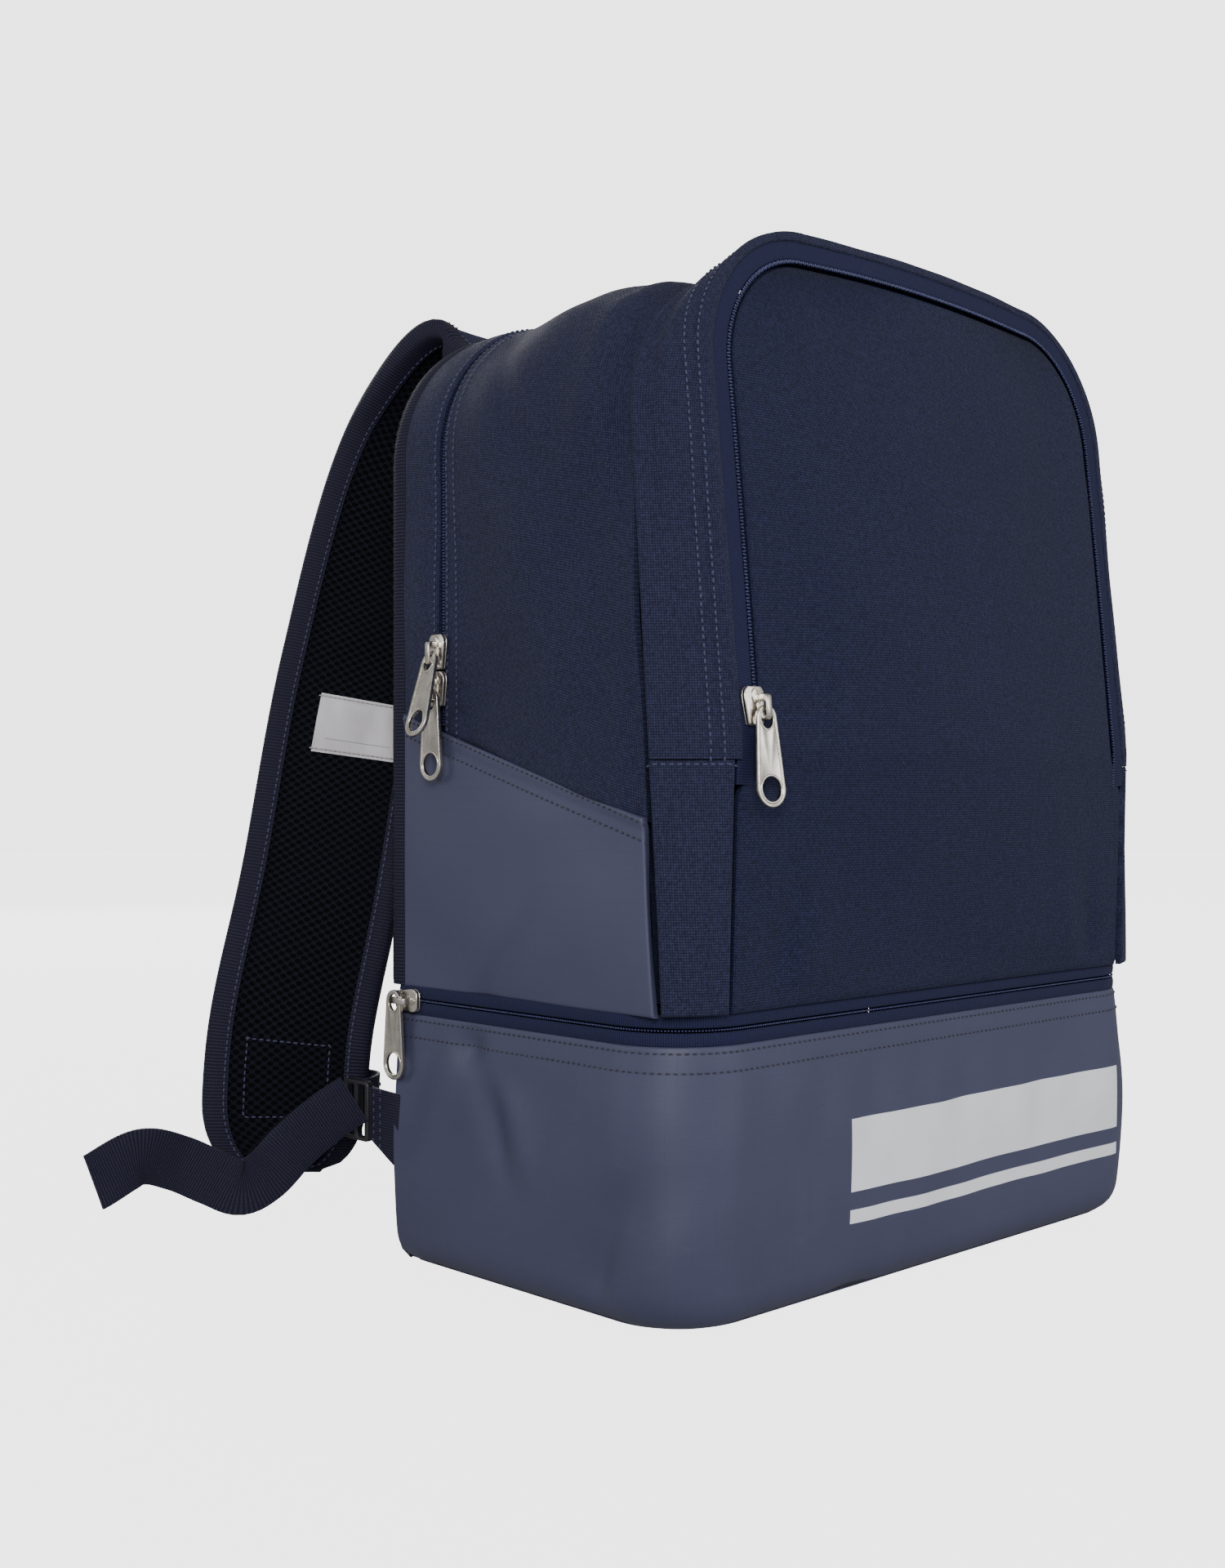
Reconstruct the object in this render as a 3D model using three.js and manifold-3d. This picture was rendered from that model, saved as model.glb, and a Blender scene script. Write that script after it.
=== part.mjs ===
// School sports backpack with a zipped front pocket and a separate zipped shoe compartment.
// Millimetres, +Z up, the front pocket faces -Y, origin under the middle of the base.
import * as THREE from "three";
import { mergeVertices } from "three/addons/utils/BufferGeometryUtils.js";
import Module from "manifold-3d";

// ---- Overall sizes ----
const GAP = 0.3;
const CLOTH = 2.4;
const HALF_WIDTH = 178;
const FRONT_Y = -95;
const REAR_Y = 92;
const SIDE_REAR_Y = 84;
const FRONT_CORNER_R = 38;
const REAR_CORNER_R = 5;

// ---- Shoe compartment ----
const ZIP_Z = 124;
const TAPE_W = 5.2;
const COIL_W = 1.4;
const BASE_T = 2.4;
const BOARD_T = 3;
const SHOE_TOP = ZIP_Z - COIL_W / 2 - GAP - TAPE_W;
const UPPER_BOTTOM = ZIP_Z + COIL_W / 2 + GAP + TAPE_W + GAP;

// ---- Upper bag ----
const BODY_TOP = 444;
const BODY_CROWN = 7;
const BODY_R = 70;
const BODY_FRONT_Y = -84;
const BODY_LEAN = 0.07;
const SEAM = 3.4;
const SIDE_EDGE_REAR_Z = 258;
const SIDE_EDGE_FRONT_Z = 211;
const MAIN_ZIP_Y = 56;
const MAIN_TAPE_W = 8;
const MAIN_COIL_W = 3;
const MAIN_ZIP_END_Z = 252;

// ---- Front pocket ----
const POCKET_Y = -101;
const POCKET_LEAN = 0.1;
const POCKET_BULGE = 11;
const POCKET_HALF = 152;
const POCKET_TOP = 466;
const POCKET_R = 52;
const POCKET_TAPE_W = 7;
const POCKET_COIL_W = 5;
const HINGE_Z = 240;
const FOOT_Z = 234;

// ---- Shoulder straps ----
const STRAP_W = 74;
const STRAP_T = 9;
const STRAP_LEN_STEPS = 40;
const WEB_W = 25;
const WEB_T = 1.6;

const COLOURS = {
  woven: [0x2a3047, 0.82],
  coated: [0x41455c, 0.48],
  tape: [0x252b48, 0.8],
  coil: [0x1a1d33, 0.35],
  airMesh: [0x12131d, 0.9],
  webbing: [0x24222e, 0.75],
  binding: [0x1d1d29, 0.8],
  label: [0xb8b4ba, 0.4],
  board: [0x1c1c1f, 0.6],
  foam: [0x3a3a40, 0.95],
  plastic: [0x101014, 0.4],
  metal: [0xb9b3a8, 0.28],
};

const root = new THREE.Group();
root.name = "backpack";

function add(name, geometry, look) {
  const [colour, roughness] = COLOURS[look];
  const metalness = look === "metal" ? 1 : 0;
  const material = new THREE.MeshStandardMaterial({ color: colour, roughness, metalness });
  const mesh = new THREE.Mesh(geometry, material);
  mesh.name = name;
  root.add(mesh);
  return mesh;
}

const lerp = (a, b, t) => a + (b - a) * t;
const vec = (x, y, z) => new THREE.Vector3(x, y, z);

// ---- Solids from grids ----

// A closed slab between two grids of points; closedU joins its first row to its last.
function slab(outer, inner, nu, nv, closedU = false) {
  const rows = closedU ? nu : nu + 1;
  const layer = rows * (nv + 1);
  const positions = [];
  for (const face of [outer, inner]) {
    for (let i = 0; i < rows; i++) {
      for (let j = 0; j <= nv; j++) {
        const p = face(i / nu, j / nv);
        positions.push(p.x, p.y, p.z);
      }
    }
  }
  const at = (side, i, j) => side * layer + (i % rows) * (nv + 1) + j;
  const index = [];
  const quad = (a, b, c, d) => index.push(a, b, c, a, c, d);
  for (let i = 0; i < nu; i++) {
    for (let j = 0; j < nv; j++) {
      quad(at(0, i, j), at(0, i + 1, j), at(0, i + 1, j + 1), at(0, i, j + 1));
      quad(at(1, i, j), at(1, i, j + 1), at(1, i + 1, j + 1), at(1, i + 1, j));
    }
    quad(at(0, i, 0), at(1, i, 0), at(1, i + 1, 0), at(0, i + 1, 0));
    quad(at(0, i, nv), at(0, i + 1, nv), at(1, i + 1, nv), at(1, i, nv));
  }
  if (!closedU) {
    for (let j = 0; j < nv; j++) {
      quad(at(0, 0, j), at(0, 0, j + 1), at(1, 0, j + 1), at(1, 0, j));
      quad(at(0, nu, j), at(1, nu, j), at(1, nu, j + 1), at(0, nu, j + 1));
    }
  }
  const geometry = new THREE.BufferGeometry();
  geometry.setAttribute("position", new THREE.Float32BufferAttribute(positions, 3));
  geometry.setIndex(volumeOf(positions, index) < 0 ? index.reverse() : index);
  return geometry;
}

function volumeOf(positions, index) {
  const corner = (k) => vec(positions[3 * k], positions[3 * k + 1], positions[3 * k + 2]);
  let six = 0;
  for (let i = 0; i < index.length; i += 3) {
    const [a, b, c] = [corner(index[i]), corner(index[i + 1]), corner(index[i + 2])];
    six += a.dot(b.cross(c));
  }
  return six;
}

// A cloth panel: its outer surface is point(u, v), and it is thick towards its back.
function panel(point, nu, nv, thick = CLOTH, outward = 1) {
  const step = 1e-3;
  const back = (u, v) => {
    const u0 = Math.min(u, 1 - step);
    const v0 = Math.min(v, 1 - step);
    const p = point(u0, v0);
    const du = point(u0 + step, v0).sub(p);
    const dv = point(u0, v0 + step).sub(p);
    const normal = du.cross(dv).normalize().multiplyScalar(-outward * thick);
    return point(u, v).add(normal);
  };
  return slab(point, back, nu, nv);
}

// ---- The bag's own curves ----

// An arch in X and Z from its left foot over the top to its right foot, s from 0 to 1.
function arch(s, half, foot, top, r, crown) {
  const straight = top - r - foot;
  const bend = (Math.PI * r) / 2;
  const flat = half - r;
  const d = (s < 0.5 ? s : 1 - s) * 2 * (straight + bend + flat);
  const side = s < 0.5 ? -1 : 1;
  if (d < straight) return [side * half, foot + d];
  if (d < straight + bend) {
    const a = (d - straight) / r;
    return [side * (flat + r * Math.cos(a)), top - r + r * Math.sin(a)];
  }
  const x = flat - (d - straight - bend);
  return [side * x, top + crown * (1 - (x / flat) ** 2)];
}

const bodyFrontY = (z) => BODY_FRONT_Y + BODY_LEAN * (z - UPPER_BOTTOM);

// The walls of the upper bag stop short of the pocket's gusset by the seam between them.
const wallFrontY = (z) => bodyFrontY(z) + SEAM;

// The front of the pocket: it leans back towards the top and is crowned in the middle.
function frontY(x, z) {
  const rise = Math.sin(Math.PI * Math.min(1, Math.max(0, (z - UPPER_BOTTOM) / 360)));
  const lean = z > HINGE_Z ? POCKET_LEAN * (z - HINGE_Z) : 0.03 * (HINGE_Z - z);
  return POCKET_Y + lean - POCKET_BULGE * rise * (1 - (x / POCKET_HALF) ** 2);
}

// The zip's arch on the front of the pocket, at an inset from the pocket's outer arch.
function pocketArch(s, inset, foot) {
  const r = POCKET_R - inset;
  const [x, z] = arch(s, POCKET_HALF - inset, foot, POCKET_TOP - inset, r, 3);
  return vec(x, frontY(x, z), z);
}

// The plan of the shoe compartment: three sides from one rear corner round the front.
function threeSides(u, inset, rearY) {
  const half = HALF_WIDTH - inset;
  const front = FRONT_Y + inset;
  const r = FRONT_CORNER_R - inset;
  const side = rearY - front - r;
  const bend = (Math.PI * r) / 2;
  const flat = half - r;
  const d = (u < 0.5 ? u : 1 - u) * 2 * (side + bend + flat);
  const hand = u < 0.5 ? -1 : 1;
  if (d < side) return [hand * half, rearY - d];
  if (d < side + bend) {
    const a = (d - side) / r;
    return [hand * (flat + r * Math.cos(a)), front + r - r * Math.sin(a)];
  }
  return [hand * (flat - (d - side - bend)), front];
}

const REAR_JOIN_Y = REAR_Y - REAR_CORNER_R;

function wrap(inset, thick, z0, z1, nu = 40) {
  const face = (depth) => (u, v) => {
    const [x, y] = threeSides(u, depth, REAR_JOIN_Y);
    return vec(x, y, lerp(z0, z1, v));
  };
  return slab(face(inset), face(inset + thick), nu, 1);
}

// ---- Shoe compartment ----

function footprint(inset) {
  const half = HALF_WIDTH - inset;
  const [front, rear] = [FRONT_Y + inset, REAR_Y - inset];
  const [rf, rr] = [FRONT_CORNER_R - inset, Math.max(1, REAR_CORNER_R - inset)];
  const shape = new THREE.Shape();
  shape.absarc(-half + rf, front + rf, rf, Math.PI, 1.5 * Math.PI);
  shape.absarc(half - rf, front + rf, rf, -Math.PI / 2, 0);
  shape.absarc(half - rr, rear - rr, rr, 0, Math.PI / 2);
  shape.absarc(-half + rr, rear - rr, rr, Math.PI / 2, Math.PI);
  return shape;
}

function plate(shape, z, thick) {
  const options = { depth: thick, bevelEnabled: false, curveSegments: 6 };
  return new THREE.ExtrudeGeometry(shape, options).translate(0, 0, z);
}

add("base_panel", plate(footprint(0.6), 0, BASE_T), "coated");
add("base_board", plate(footprint(6), BASE_T + GAP, BOARD_T), "board");
add("shoe_wall", wrap(0, CLOTH, BASE_T + GAP, SHOE_TOP), "coated");
add("bottom_zip_lower_tape", wrap(0.4, 1.6, SHOE_TOP + GAP, SHOE_TOP + TAPE_W), "tape");
add("bottom_zip_coil", wrap(0.2, 1.8, ZIP_Z - COIL_W / 2, ZIP_Z + COIL_W / 2), "coil");

function rearWall(depth) {
  const r = REAR_CORNER_R - depth;
  const flat = HALF_WIDTH - REAR_CORNER_R;
  const bend = (Math.PI * r) / 2;
  return (u, v) => {
    const d = (u - 0.5) * 2 * (flat + bend);
    const hand = Math.sign(d) || 1;
    const past = Math.max(0, Math.abs(d) - flat) / r;
    const x = hand * (Math.min(Math.abs(d), flat) + r * Math.sin(past));
    const y = REAR_JOIN_Y + GAP + r * Math.cos(past);
    return vec(x, y, lerp(BASE_T + GAP, ZIP_Z - GAP, v));
  };
}
add("shoe_back_wall", slab(rearWall(0), rearWall(CLOTH), 24, 1), "woven");

// ---- Upper bag: floor, sides, top and back ----

const upperTapeZ = ZIP_Z + COIL_W / 2 + GAP;
add("bottom_zip_upper_tape", wrap(0.4, 1.6, upperTapeZ, upperTapeZ + TAPE_W), "tape");

const floorShape = footprint(9);
add("main_floor", plate(floorShape, UPPER_BOTTOM + GAP, 2), "woven");

// The coated side panels reach from front to back, and their top edge falls to the front.
const edgeZ = (y) => {
  const t = (y - bodyFrontY(SIDE_EDGE_FRONT_Z)) / (SIDE_REAR_Y - BODY_FRONT_Y);
  return lerp(SIDE_EDGE_FRONT_Z, SIDE_EDGE_REAR_Z, t);
};

for (const [side, hand] of [["left", -1], ["right", 1]]) {
  const point = (u, v) => {
    const y0 = lerp(BODY_FRONT_Y, SIDE_REAR_Y, u);
    const z = lerp(UPPER_BOTTOM, edgeZ(y0), v);
    return vec(hand * HALF_WIDTH, lerp(wallFrontY(z), SIDE_REAR_Y, u), z);
  };
  add("side_panel_" + side, panel(point, 8, 6, CLOTH, hand), "coated");
}

// A strip of the wall above the coated panels, between two depths.
function wallStrip(y0, y1, nu, nv, foot, thick = CLOTH) {
  const point = (u, v) => {
    const start = foot ?? edgeZ(lerp(y0, y1, v)) + GAP;
    const [x, z] = arch(u, HALF_WIDTH, start, BODY_TOP, BODY_R, BODY_CROWN);
    return vec(x, lerp(Math.max(y0, wallFrontY(z)), y1, v), z);
  };
  return panel(point, nu, nv, thick, 1);
}

const zipFront = MAIN_ZIP_Y - MAIN_COIL_W / 2 - GAP - MAIN_TAPE_W;
const zipRear = MAIN_ZIP_Y + MAIN_COIL_W / 2 + GAP + MAIN_TAPE_W;
const coilFront = MAIN_ZIP_Y - MAIN_COIL_W / 2;
const coilRear = MAIN_ZIP_Y + MAIN_COIL_W / 2;
add("main_gusset", wallStrip(BODY_FRONT_Y, zipFront - GAP, 40, 8), "woven");
add("main_zip_front_tape", wallStrip(zipFront, coilFront - GAP, 40, 1, MAIN_ZIP_END_Z, 1.4), "tape");
add("main_zip_coil", wallStrip(coilFront, coilRear, 40, 1, MAIN_ZIP_END_Z, 1.4), "coil");
add("main_zip_rear_tape", wallStrip(coilRear + GAP, zipRear, 40, 1, MAIN_ZIP_END_Z, 1.4), "tape");
add("rear_band", wallStrip(zipRear + GAP, SIDE_REAR_Y, 40, 2), "woven");

function backShape(inset) {
  const half = HALF_WIDTH - inset;
  const [foot, top, r] = [UPPER_BOTTOM, BODY_TOP - inset, BODY_R - inset];
  const shape = new THREE.Shape();
  shape.moveTo(-half, foot);
  shape.lineTo(half, foot);
  shape.absarc(half - r, top - r, r, 0, Math.PI / 2);
  shape.quadraticCurveTo(0, top + BODY_CROWN, -half + r, top);
  shape.absarc(-half + r, top - r, r, Math.PI / 2, Math.PI);
  return shape;
}

// A plate standing in the back panel, its face towards the wearer at rearY.
function backPlate(inset, rearY, thick) {
  return plate(backShape(inset), 0, thick).rotateX(Math.PI / 2).translate(0, rearY, 0);
}

const COVER_T = 2.6;
const BACK_FOAM_T = 5;
const BACK_BOARD_T = 1.6;
const coverY = REAR_Y + COVER_T;
const foamY = REAR_Y - GAP;
const boardY = foamY - BACK_FOAM_T - GAP;
add("back_mesh_cover", backPlate(0, coverY, COVER_T), "airMesh");
add("back_foam", backPlate(5, foamY, BACK_FOAM_T), "foam");
add("back_board", backPlate(8, boardY, BACK_BOARD_T), "board");

// ---- Divider and front pocket ----

const dividerPoint = (u, v) => {
  const z = lerp(UPPER_BOTTOM + 4, BODY_TOP - 6, v);
  const past = Math.max(0, z - (BODY_TOP - BODY_R)) / BODY_R;
  const half = HALF_WIDTH - BODY_R + BODY_R * Math.sqrt(1 - Math.min(1, past) ** 2) - 8;
  const y = bodyFrontY(z) + 9;
  return vec(lerp(-half, half, u), y, z);
};
add("divider_panel", panel(dividerPoint, 8, 14, 1.6, 1), "woven");

// The gusset joins the bag's front edge to the outer edge of the pocket's zip tape.
function gussetPoint(s, v, foot) {
  const [x0, z0] = arch(s, HALF_WIDTH - 1, foot, BODY_TOP, BODY_R, BODY_CROWN);
  const inner = vec(x0, bodyFrontY(z0) - GAP, z0);
  const outer = pocketArch(s, 0, foot);
  const puff = 3 * Math.sin(Math.PI * v);
  const point = inner.lerp(outer, v);
  return vec(point.x + puff * Math.sign(point.x) * 0.5, point.y - puff * 0.6, point.z);
}
const GUSSET_REACH = 0.86;
const gusset = (u, v) => gussetPoint(u, v * GUSSET_REACH, FOOT_Z + GAP);

// Its thickness points into the pocket: sideways on the sides, down on the top.
const gussetLining = (u, v) => {
  const u0 = Math.min(u, 0.999);
  const along = gusset(u0 + 0.001, v).sub(gusset(u0, v)).normalize();
  const inward = vec(along.z, 0.6 * Math.abs(along.z), -along.x).normalize();
  return gusset(u, v).addScaledVector(inward, CLOTH);
};
add("pocket_gusset", slab(gusset, gussetLining, 44, 4), "woven");

// Below the zip the gusset goes on down to the shoe compartment as two feet.
const footTop = arch(0, POCKET_HALF, FOOT_Z, POCKET_TOP, POCKET_R, 0);
for (const [side, hand] of [["left", -1], ["right", 1]]) {
  const point = (u, v) => {
    const z = lerp(UPPER_BOTTOM, FOOT_Z, u);
    const inner = vec(hand * (HALF_WIDTH - 1), bodyFrontY(z) - GAP, z);
    const outer = vec(hand * -footTop[0], frontY(POCKET_HALF, z), z);
    const puff = 3 * Math.sin(Math.PI * v);
    const mid = inner.lerp(outer, v);
    return vec(mid.x + puff * hand * 0.5, mid.y - puff * 0.6, z);
  };
  add("pocket_foot_" + side, panel(point, 6, 4, CLOTH, hand), "woven");
}

function frontStrip(inset, width, foot, thick = 1.4) {
  const point = (u, v) => pocketArch(u, lerp(inset, inset + width, v), foot);
  return panel(point, 44, 1, thick, -1);
}
const tapeInset = SEAM;
const coilInset = tapeInset + POCKET_TAPE_W + GAP;
const innerTapeInset = coilInset + POCKET_COIL_W + GAP;
const panelInset = innerTapeInset + POCKET_TAPE_W + 4 * GAP;
add("pocket_zip_outer_tape", frontStrip(tapeInset, POCKET_TAPE_W, HINGE_Z), "tape");
add("pocket_zip_coil", frontStrip(coilInset, POCKET_COIL_W, HINGE_Z), "coil");
// The loose tape starts above the parked pull, which it has to pass as the flap opens.
const LOOSE_STEPS = 2;
const looseTape = (u, v) => {
  const along = (LOOSE_STEPS + u * (44 - 2 * LOOSE_STEPS)) / 44;
  const inset = lerp(innerTapeInset, innerTapeInset + POCKET_TAPE_W, v);
  return pocketArch(along, inset, HINGE_Z);
};
add("pocket_zip_inner_tape", panel(looseTape, 44 - 2 * LOOSE_STEPS, 1, 1.4, -1), "tape");

// The part of the front that opens, inside the zip's arch and above the hinge line.
const upperFront = (u, v) => {
  const [half, top, r] = [POCKET_HALF - panelInset, POCKET_TOP - panelInset, POCKET_R - panelInset];
  const z0 = lerp(HINGE_Z, top, v);
  const past = Math.max(0, z0 - (top - r)) / r;
  const wide = half - r + r * Math.sqrt(1 - Math.min(1, past) ** 2);
  const x = lerp(-wide, wide, u);
  const z = z0 + 2.6 * past * (1 - (x / wide) ** 2);
  return vec(x, frontY(x, z), z);
};
add("front_panel_upper", panel(upperFront, 14, 22, CLOTH, 1), "woven");

const lowerFront = (u, v) => {
  const z = lerp(UPPER_BOTTOM, HINGE_Z - 1, v);
  const x = lerp(-1, 1, u) * (POCKET_HALF - SEAM);
  return vec(x, frontY(x, z), z);
};
add("front_panel_lower", panel(lowerFront, 16, 8, CLOTH, 1), "woven");

// ---- Zip sliders and pulls ----

const wasm = await Module();
wasm.setup();

// The bare vertices of a geometry, indexed, with the seams between them merged.
function bare(geometry) {
  const copy = geometry.clone();
  copy.deleteAttribute("normal");
  copy.deleteAttribute("uv");
  return mergeVertices(copy, 1e-3);
}

function joined(a, b) {
  const solids = [a, b].map((geometry) => {
    const merged = bare(geometry);
    const vertProperties = merged.attributes.position.array;
    const triVerts = new Uint32Array(merged.index.array);
    return new wasm.Manifold(new wasm.Mesh({ numProp: 3, vertProperties, triVerts }));
  });
  const mesh = solids[0].add(solids[1]).getMesh();
  const geometry = new THREE.BufferGeometry();
  geometry.setAttribute("position", new THREE.BufferAttribute(mesh.vertProperties, 3));
  geometry.setIndex(new THREE.BufferAttribute(mesh.triVerts, 1));
  return geometry;
}

// The same piece for the other side of the bag.
function mirrored(geometry) {
  const copy = bare(geometry).scale(-1, 1, 1);
  copy.setIndex([...copy.index.array].reverse());
  return copy;
}

const SLIDER_L = 16;
const SLIDER_T = 2.8;
const SLIDER_CLEAR = 0.35;
const BAIL_W = 3;
const BAIL_H = 5.4;
const PULL_L = 42;
const PULL_T = 2;
const PULL_TOP_R = 5.2;
const PULL_END_R = 7.5;
const PIVOT_ALONG = 1;
const PIVOT_OUT = 5.4;

// A slider in its own axes: X across the zip, Y along it to the pull's free end, Z outwards.
function sliderBody(left, right) {
  const end = SLIDER_L / 2;
  const plan = new THREE.Shape();
  plan.moveTo(-left + 2, -end);
  plan.lineTo(right - 2, -end);
  plan.lineTo(right, -end + 4);
  plan.lineTo(right - 1.4, end);
  plan.lineTo(-left + 1.4, end);
  plan.lineTo(-left, -end + 4);
  const bail = new THREE.Shape();
  bail.moveTo(-4.6, -0.6);
  bail.lineTo(6.2, -0.6);
  bail.lineTo(6.2, BAIL_H - 1.5);
  bail.lineTo(4.7, BAIL_H);
  bail.lineTo(-3, BAIL_H);
  bail.lineTo(-4.6, BAIL_H - 1.6);
  const eye = new THREE.Path();
  eye.moveTo(-1.7, 0.8);
  eye.lineTo(-1.7, BAIL_H - 1);
  eye.lineTo(4.6, BAIL_H - 1);
  eye.lineTo(4.6, 0.8);
  bail.holes.push(eye);
  const arm = new THREE.ExtrudeGeometry(bail, { depth: BAIL_W, bevelEnabled: false });
  const turn = new THREE.Matrix4().makeBasis(vec(0, 1, 0), vec(0, 0, 1), vec(1, 0, 0));
  arm.applyMatrix4(turn).translate(-BAIL_W / 2, 0, SLIDER_T);
  return joined(plate(plan, 0, SLIDER_T), arm);
}

function pullBody() {
  const shape = new THREE.Shape();
  shape.absarc(0, PULL_TOP_R, PULL_TOP_R, Math.PI, 2 * Math.PI);
  shape.lineTo(PULL_END_R, PULL_L - PULL_END_R);
  shape.absarc(0, PULL_L - PULL_END_R, PULL_END_R, 0, Math.PI);
  const ring = new THREE.Path();
  ring.absellipse(0, 5.8, 3.2, 3.8, 0, 2 * Math.PI);
  const finger = new THREE.Path();
  finger.absarc(0, PULL_L - PULL_END_R, 5, 0, 2 * Math.PI);
  shape.holes.push(ring, finger);
  return plate(shape, -PULL_T / 2, PULL_T);
}

// Axes of a slider on the bag, from the way its pull hangs and the way out of the cloth.
function seat(origin, along, out) {
  const y = along.clone().normalize();
  const z = out.clone().addScaledVector(y, -out.dot(y)).normalize();
  const x = y.clone().cross(z);
  const matrix = new THREE.Matrix4().makeBasis(x, y, z);
  return matrix.setPosition(origin.clone().addScaledVector(z, SLIDER_CLEAR));
}

// The pull turns about its rim in the slider's eye: lifted off the cloth, or aside.
function hungPull(seatMatrix, lift, aside) {
  const pull = pullBody().translate(0, -PIVOT_ALONG, 0);
  pull.rotateX(lift).rotateZ(aside).translate(0, PIVOT_ALONG, PIVOT_OUT);
  return pull.applyMatrix4(seatMatrix);
}

// On a level zip the ring hangs round the front leg of the slider's bail.
const LEG_ALONG = 5.4;
const RING_ABOVE = 4.6;

function sidewaysPull(seatMatrix) {
  const pull = pullBody().rotateZ(Math.PI / 2);
  return pull.translate(RING_ABOVE, LEG_ALONG, PIVOT_OUT).applyMatrix4(seatMatrix);
}

const rad = THREE.MathUtils.degToRad;
const HALF_SLIDER = 5.5;
const WEST = vec(-1, 0, 0);
const DOWN = vec(0, 0, -1);

const MAIN_SLIDER_Z = [285, 268];
const MAIN_PULL_LIFT = [20, 0];
const MAIN_PULL_ASIDE = [8, 0];
["upper", "lower"].forEach((name, i) => {
  const at = seat(vec(-HALF_WIDTH, MAIN_ZIP_Y, MAIN_SLIDER_Z[i]), DOWN, WEST);
  const body = sliderBody(HALF_SLIDER, HALF_SLIDER).applyMatrix4(at);
  add("main_slider_" + name, body, "metal");
  const pull = hungPull(at, rad(MAIN_PULL_LIFT[i]), rad(MAIN_PULL_ASIDE[i]));
  add("main_pull_" + name, pull, "metal");
});

// The pocket's slider overlaps the fixed tape and the coil, and stops short of the loose tape.
const POCKET_SLIDER_Z = 256;
const coilX = -(POCKET_HALF - coilInset - POCKET_COIL_W / 2);
const slope = (dx, dz) => {
  const z = POCKET_SLIDER_Z;
  return (frontY(coilX + dx, z + dz) - frontY(coilX - dx, z - dz)) / 2;
};
const pocketDown = vec(0, -slope(0, 1), -1);
const pocketOut = vec(slope(1, 0), -1, slope(0, 1));
const pocketAt = vec(coilX, frontY(coilX, POCKET_SLIDER_Z), POCKET_SLIDER_Z);
const pocketSeat = seat(pocketAt, pocketDown, pocketOut);
const LOOSE_SIDE = 2.6;
const pocketSlider = sliderBody(LOOSE_SIDE, 2 * HALF_SLIDER - LOOSE_SIDE);
add("pocket_slider", pocketSlider.applyMatrix4(pocketSeat), "metal");
add("pocket_pull", hungPull(pocketSeat, 0, 0), "metal");

// The shoe compartment's zip lies level, so its pulls hang at a right angle to it. One slider
// is parked at each end of the zip, by the rear corners.
const BOTTOM_SLIDER_Y = 78.5;
const cornerSeat = seat(vec(-HALF_WIDTH, BOTTOM_SLIDER_Y, ZIP_Z), vec(0, 1, 0), WEST);
const cornerSlider = sliderBody(HALF_SLIDER, HALF_SLIDER).applyMatrix4(cornerSeat);
const cornerPull = sidewaysPull(cornerSeat);
add("bottom_slider_left", cornerSlider, "metal");
add("bottom_pull_left", cornerPull, "metal");
add("bottom_slider_right", mirrored(cornerSlider), "metal");
add("bottom_pull_right", mirrored(cornerPull), "metal");

// ---- Shoulder straps ----

const STRAP_POINTS = [
  [-90, 104, 438],
  [-94, 124, 450],
  [-110, 162, 398],
  [-144, 167, 285],
  [-175, 156, 175],
  [-192, 158, 100],
  [-195, 160, 36],
];
const STRAP_TURN = [0, -4, -30, -36, -40, -36, -30];
const strapCurve = new THREE.CatmullRomCurve3(STRAP_POINTS.map((p) => vec(...p)), false, "centripetal");
strapCurve.arcLengthDivisions = 400;
const strapLength = strapCurve.getLength();

// A point on the strap: s along it, q across it, h off its middle away from the bag.
function onStrap(s, q, h) {
  const u = Math.min(1, Math.max(0, s / strapLength));
  const tangent = strapCurve.getTangentAt(u);
  const turn = strapCurve.getUtoTmapping(u) * (STRAP_TURN.length - 1);
  const k = Math.min(STRAP_TURN.length - 2, Math.floor(turn));
  const angle = rad(lerp(STRAP_TURN[k], STRAP_TURN[k + 1], turn - k));
  const across = vec(Math.cos(angle), Math.sin(angle), 0);
  across.addScaledVector(tangent, -across.dot(tangent)).normalize();
  const off = across.clone().cross(tangent);
  const point = strapCurve.getPointAt(u).addScaledVector(tangent, s - u * strapLength);
  return point.addScaledVector(across, q).addScaledVector(off, h);
}

const END_ROUND = 34;
const END_NARROW = 0.55;

function halfStrap(s) {
  const past = Math.max(0, s - (strapLength - END_ROUND)) / END_ROUND;
  return (STRAP_W / 2) * (1 - END_NARROW * (1 - Math.sqrt(1 - Math.min(1, past) ** 2)));
}

function strapLayer(h0, h1, margin) {
  const face = (h) => (u, v) => {
    const s = u * strapLength;
    return onStrap(s, lerp(-1, 1, v) * (halfStrap(s) - margin), h);
  };
  return slab(face(h0), face(h1), STRAP_LEN_STEPS, 4);
}

// The strap's outline as points along and across it, pushed outwards by a distance.
function strapOutline(steps, out) {
  const points = [];
  const [long, wide] = [steps, 6];
  for (let i = 0; i <= long; i++) {
    const s = lerp(0, strapLength, i / long);
    points.push([s, -halfStrap(s) - out]);
  }
  for (let i = 1; i < wide; i++) {
    points.push([strapLength + out, lerp(-1, 1, i / wide) * (halfStrap(strapLength) + out)]);
  }
  for (let i = long; i >= 0; i--) {
    const s = lerp(0, strapLength, i / long);
    points.push([s, halfStrap(s) + out]);
  }
  for (let i = wide - 1; i > 0; i--) {
    points.push([-out, lerp(-1, 1, i / wide) * (halfStrap(0) + out)]);
  }
  return points;
}

const FACE_T = 1.5;
const BINDING_T = 2;
const BINDING_GAP = 1.5;
const meshIn = STRAP_T / 2 + GAP;
const meshOut = meshIn + FACE_T;

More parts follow.
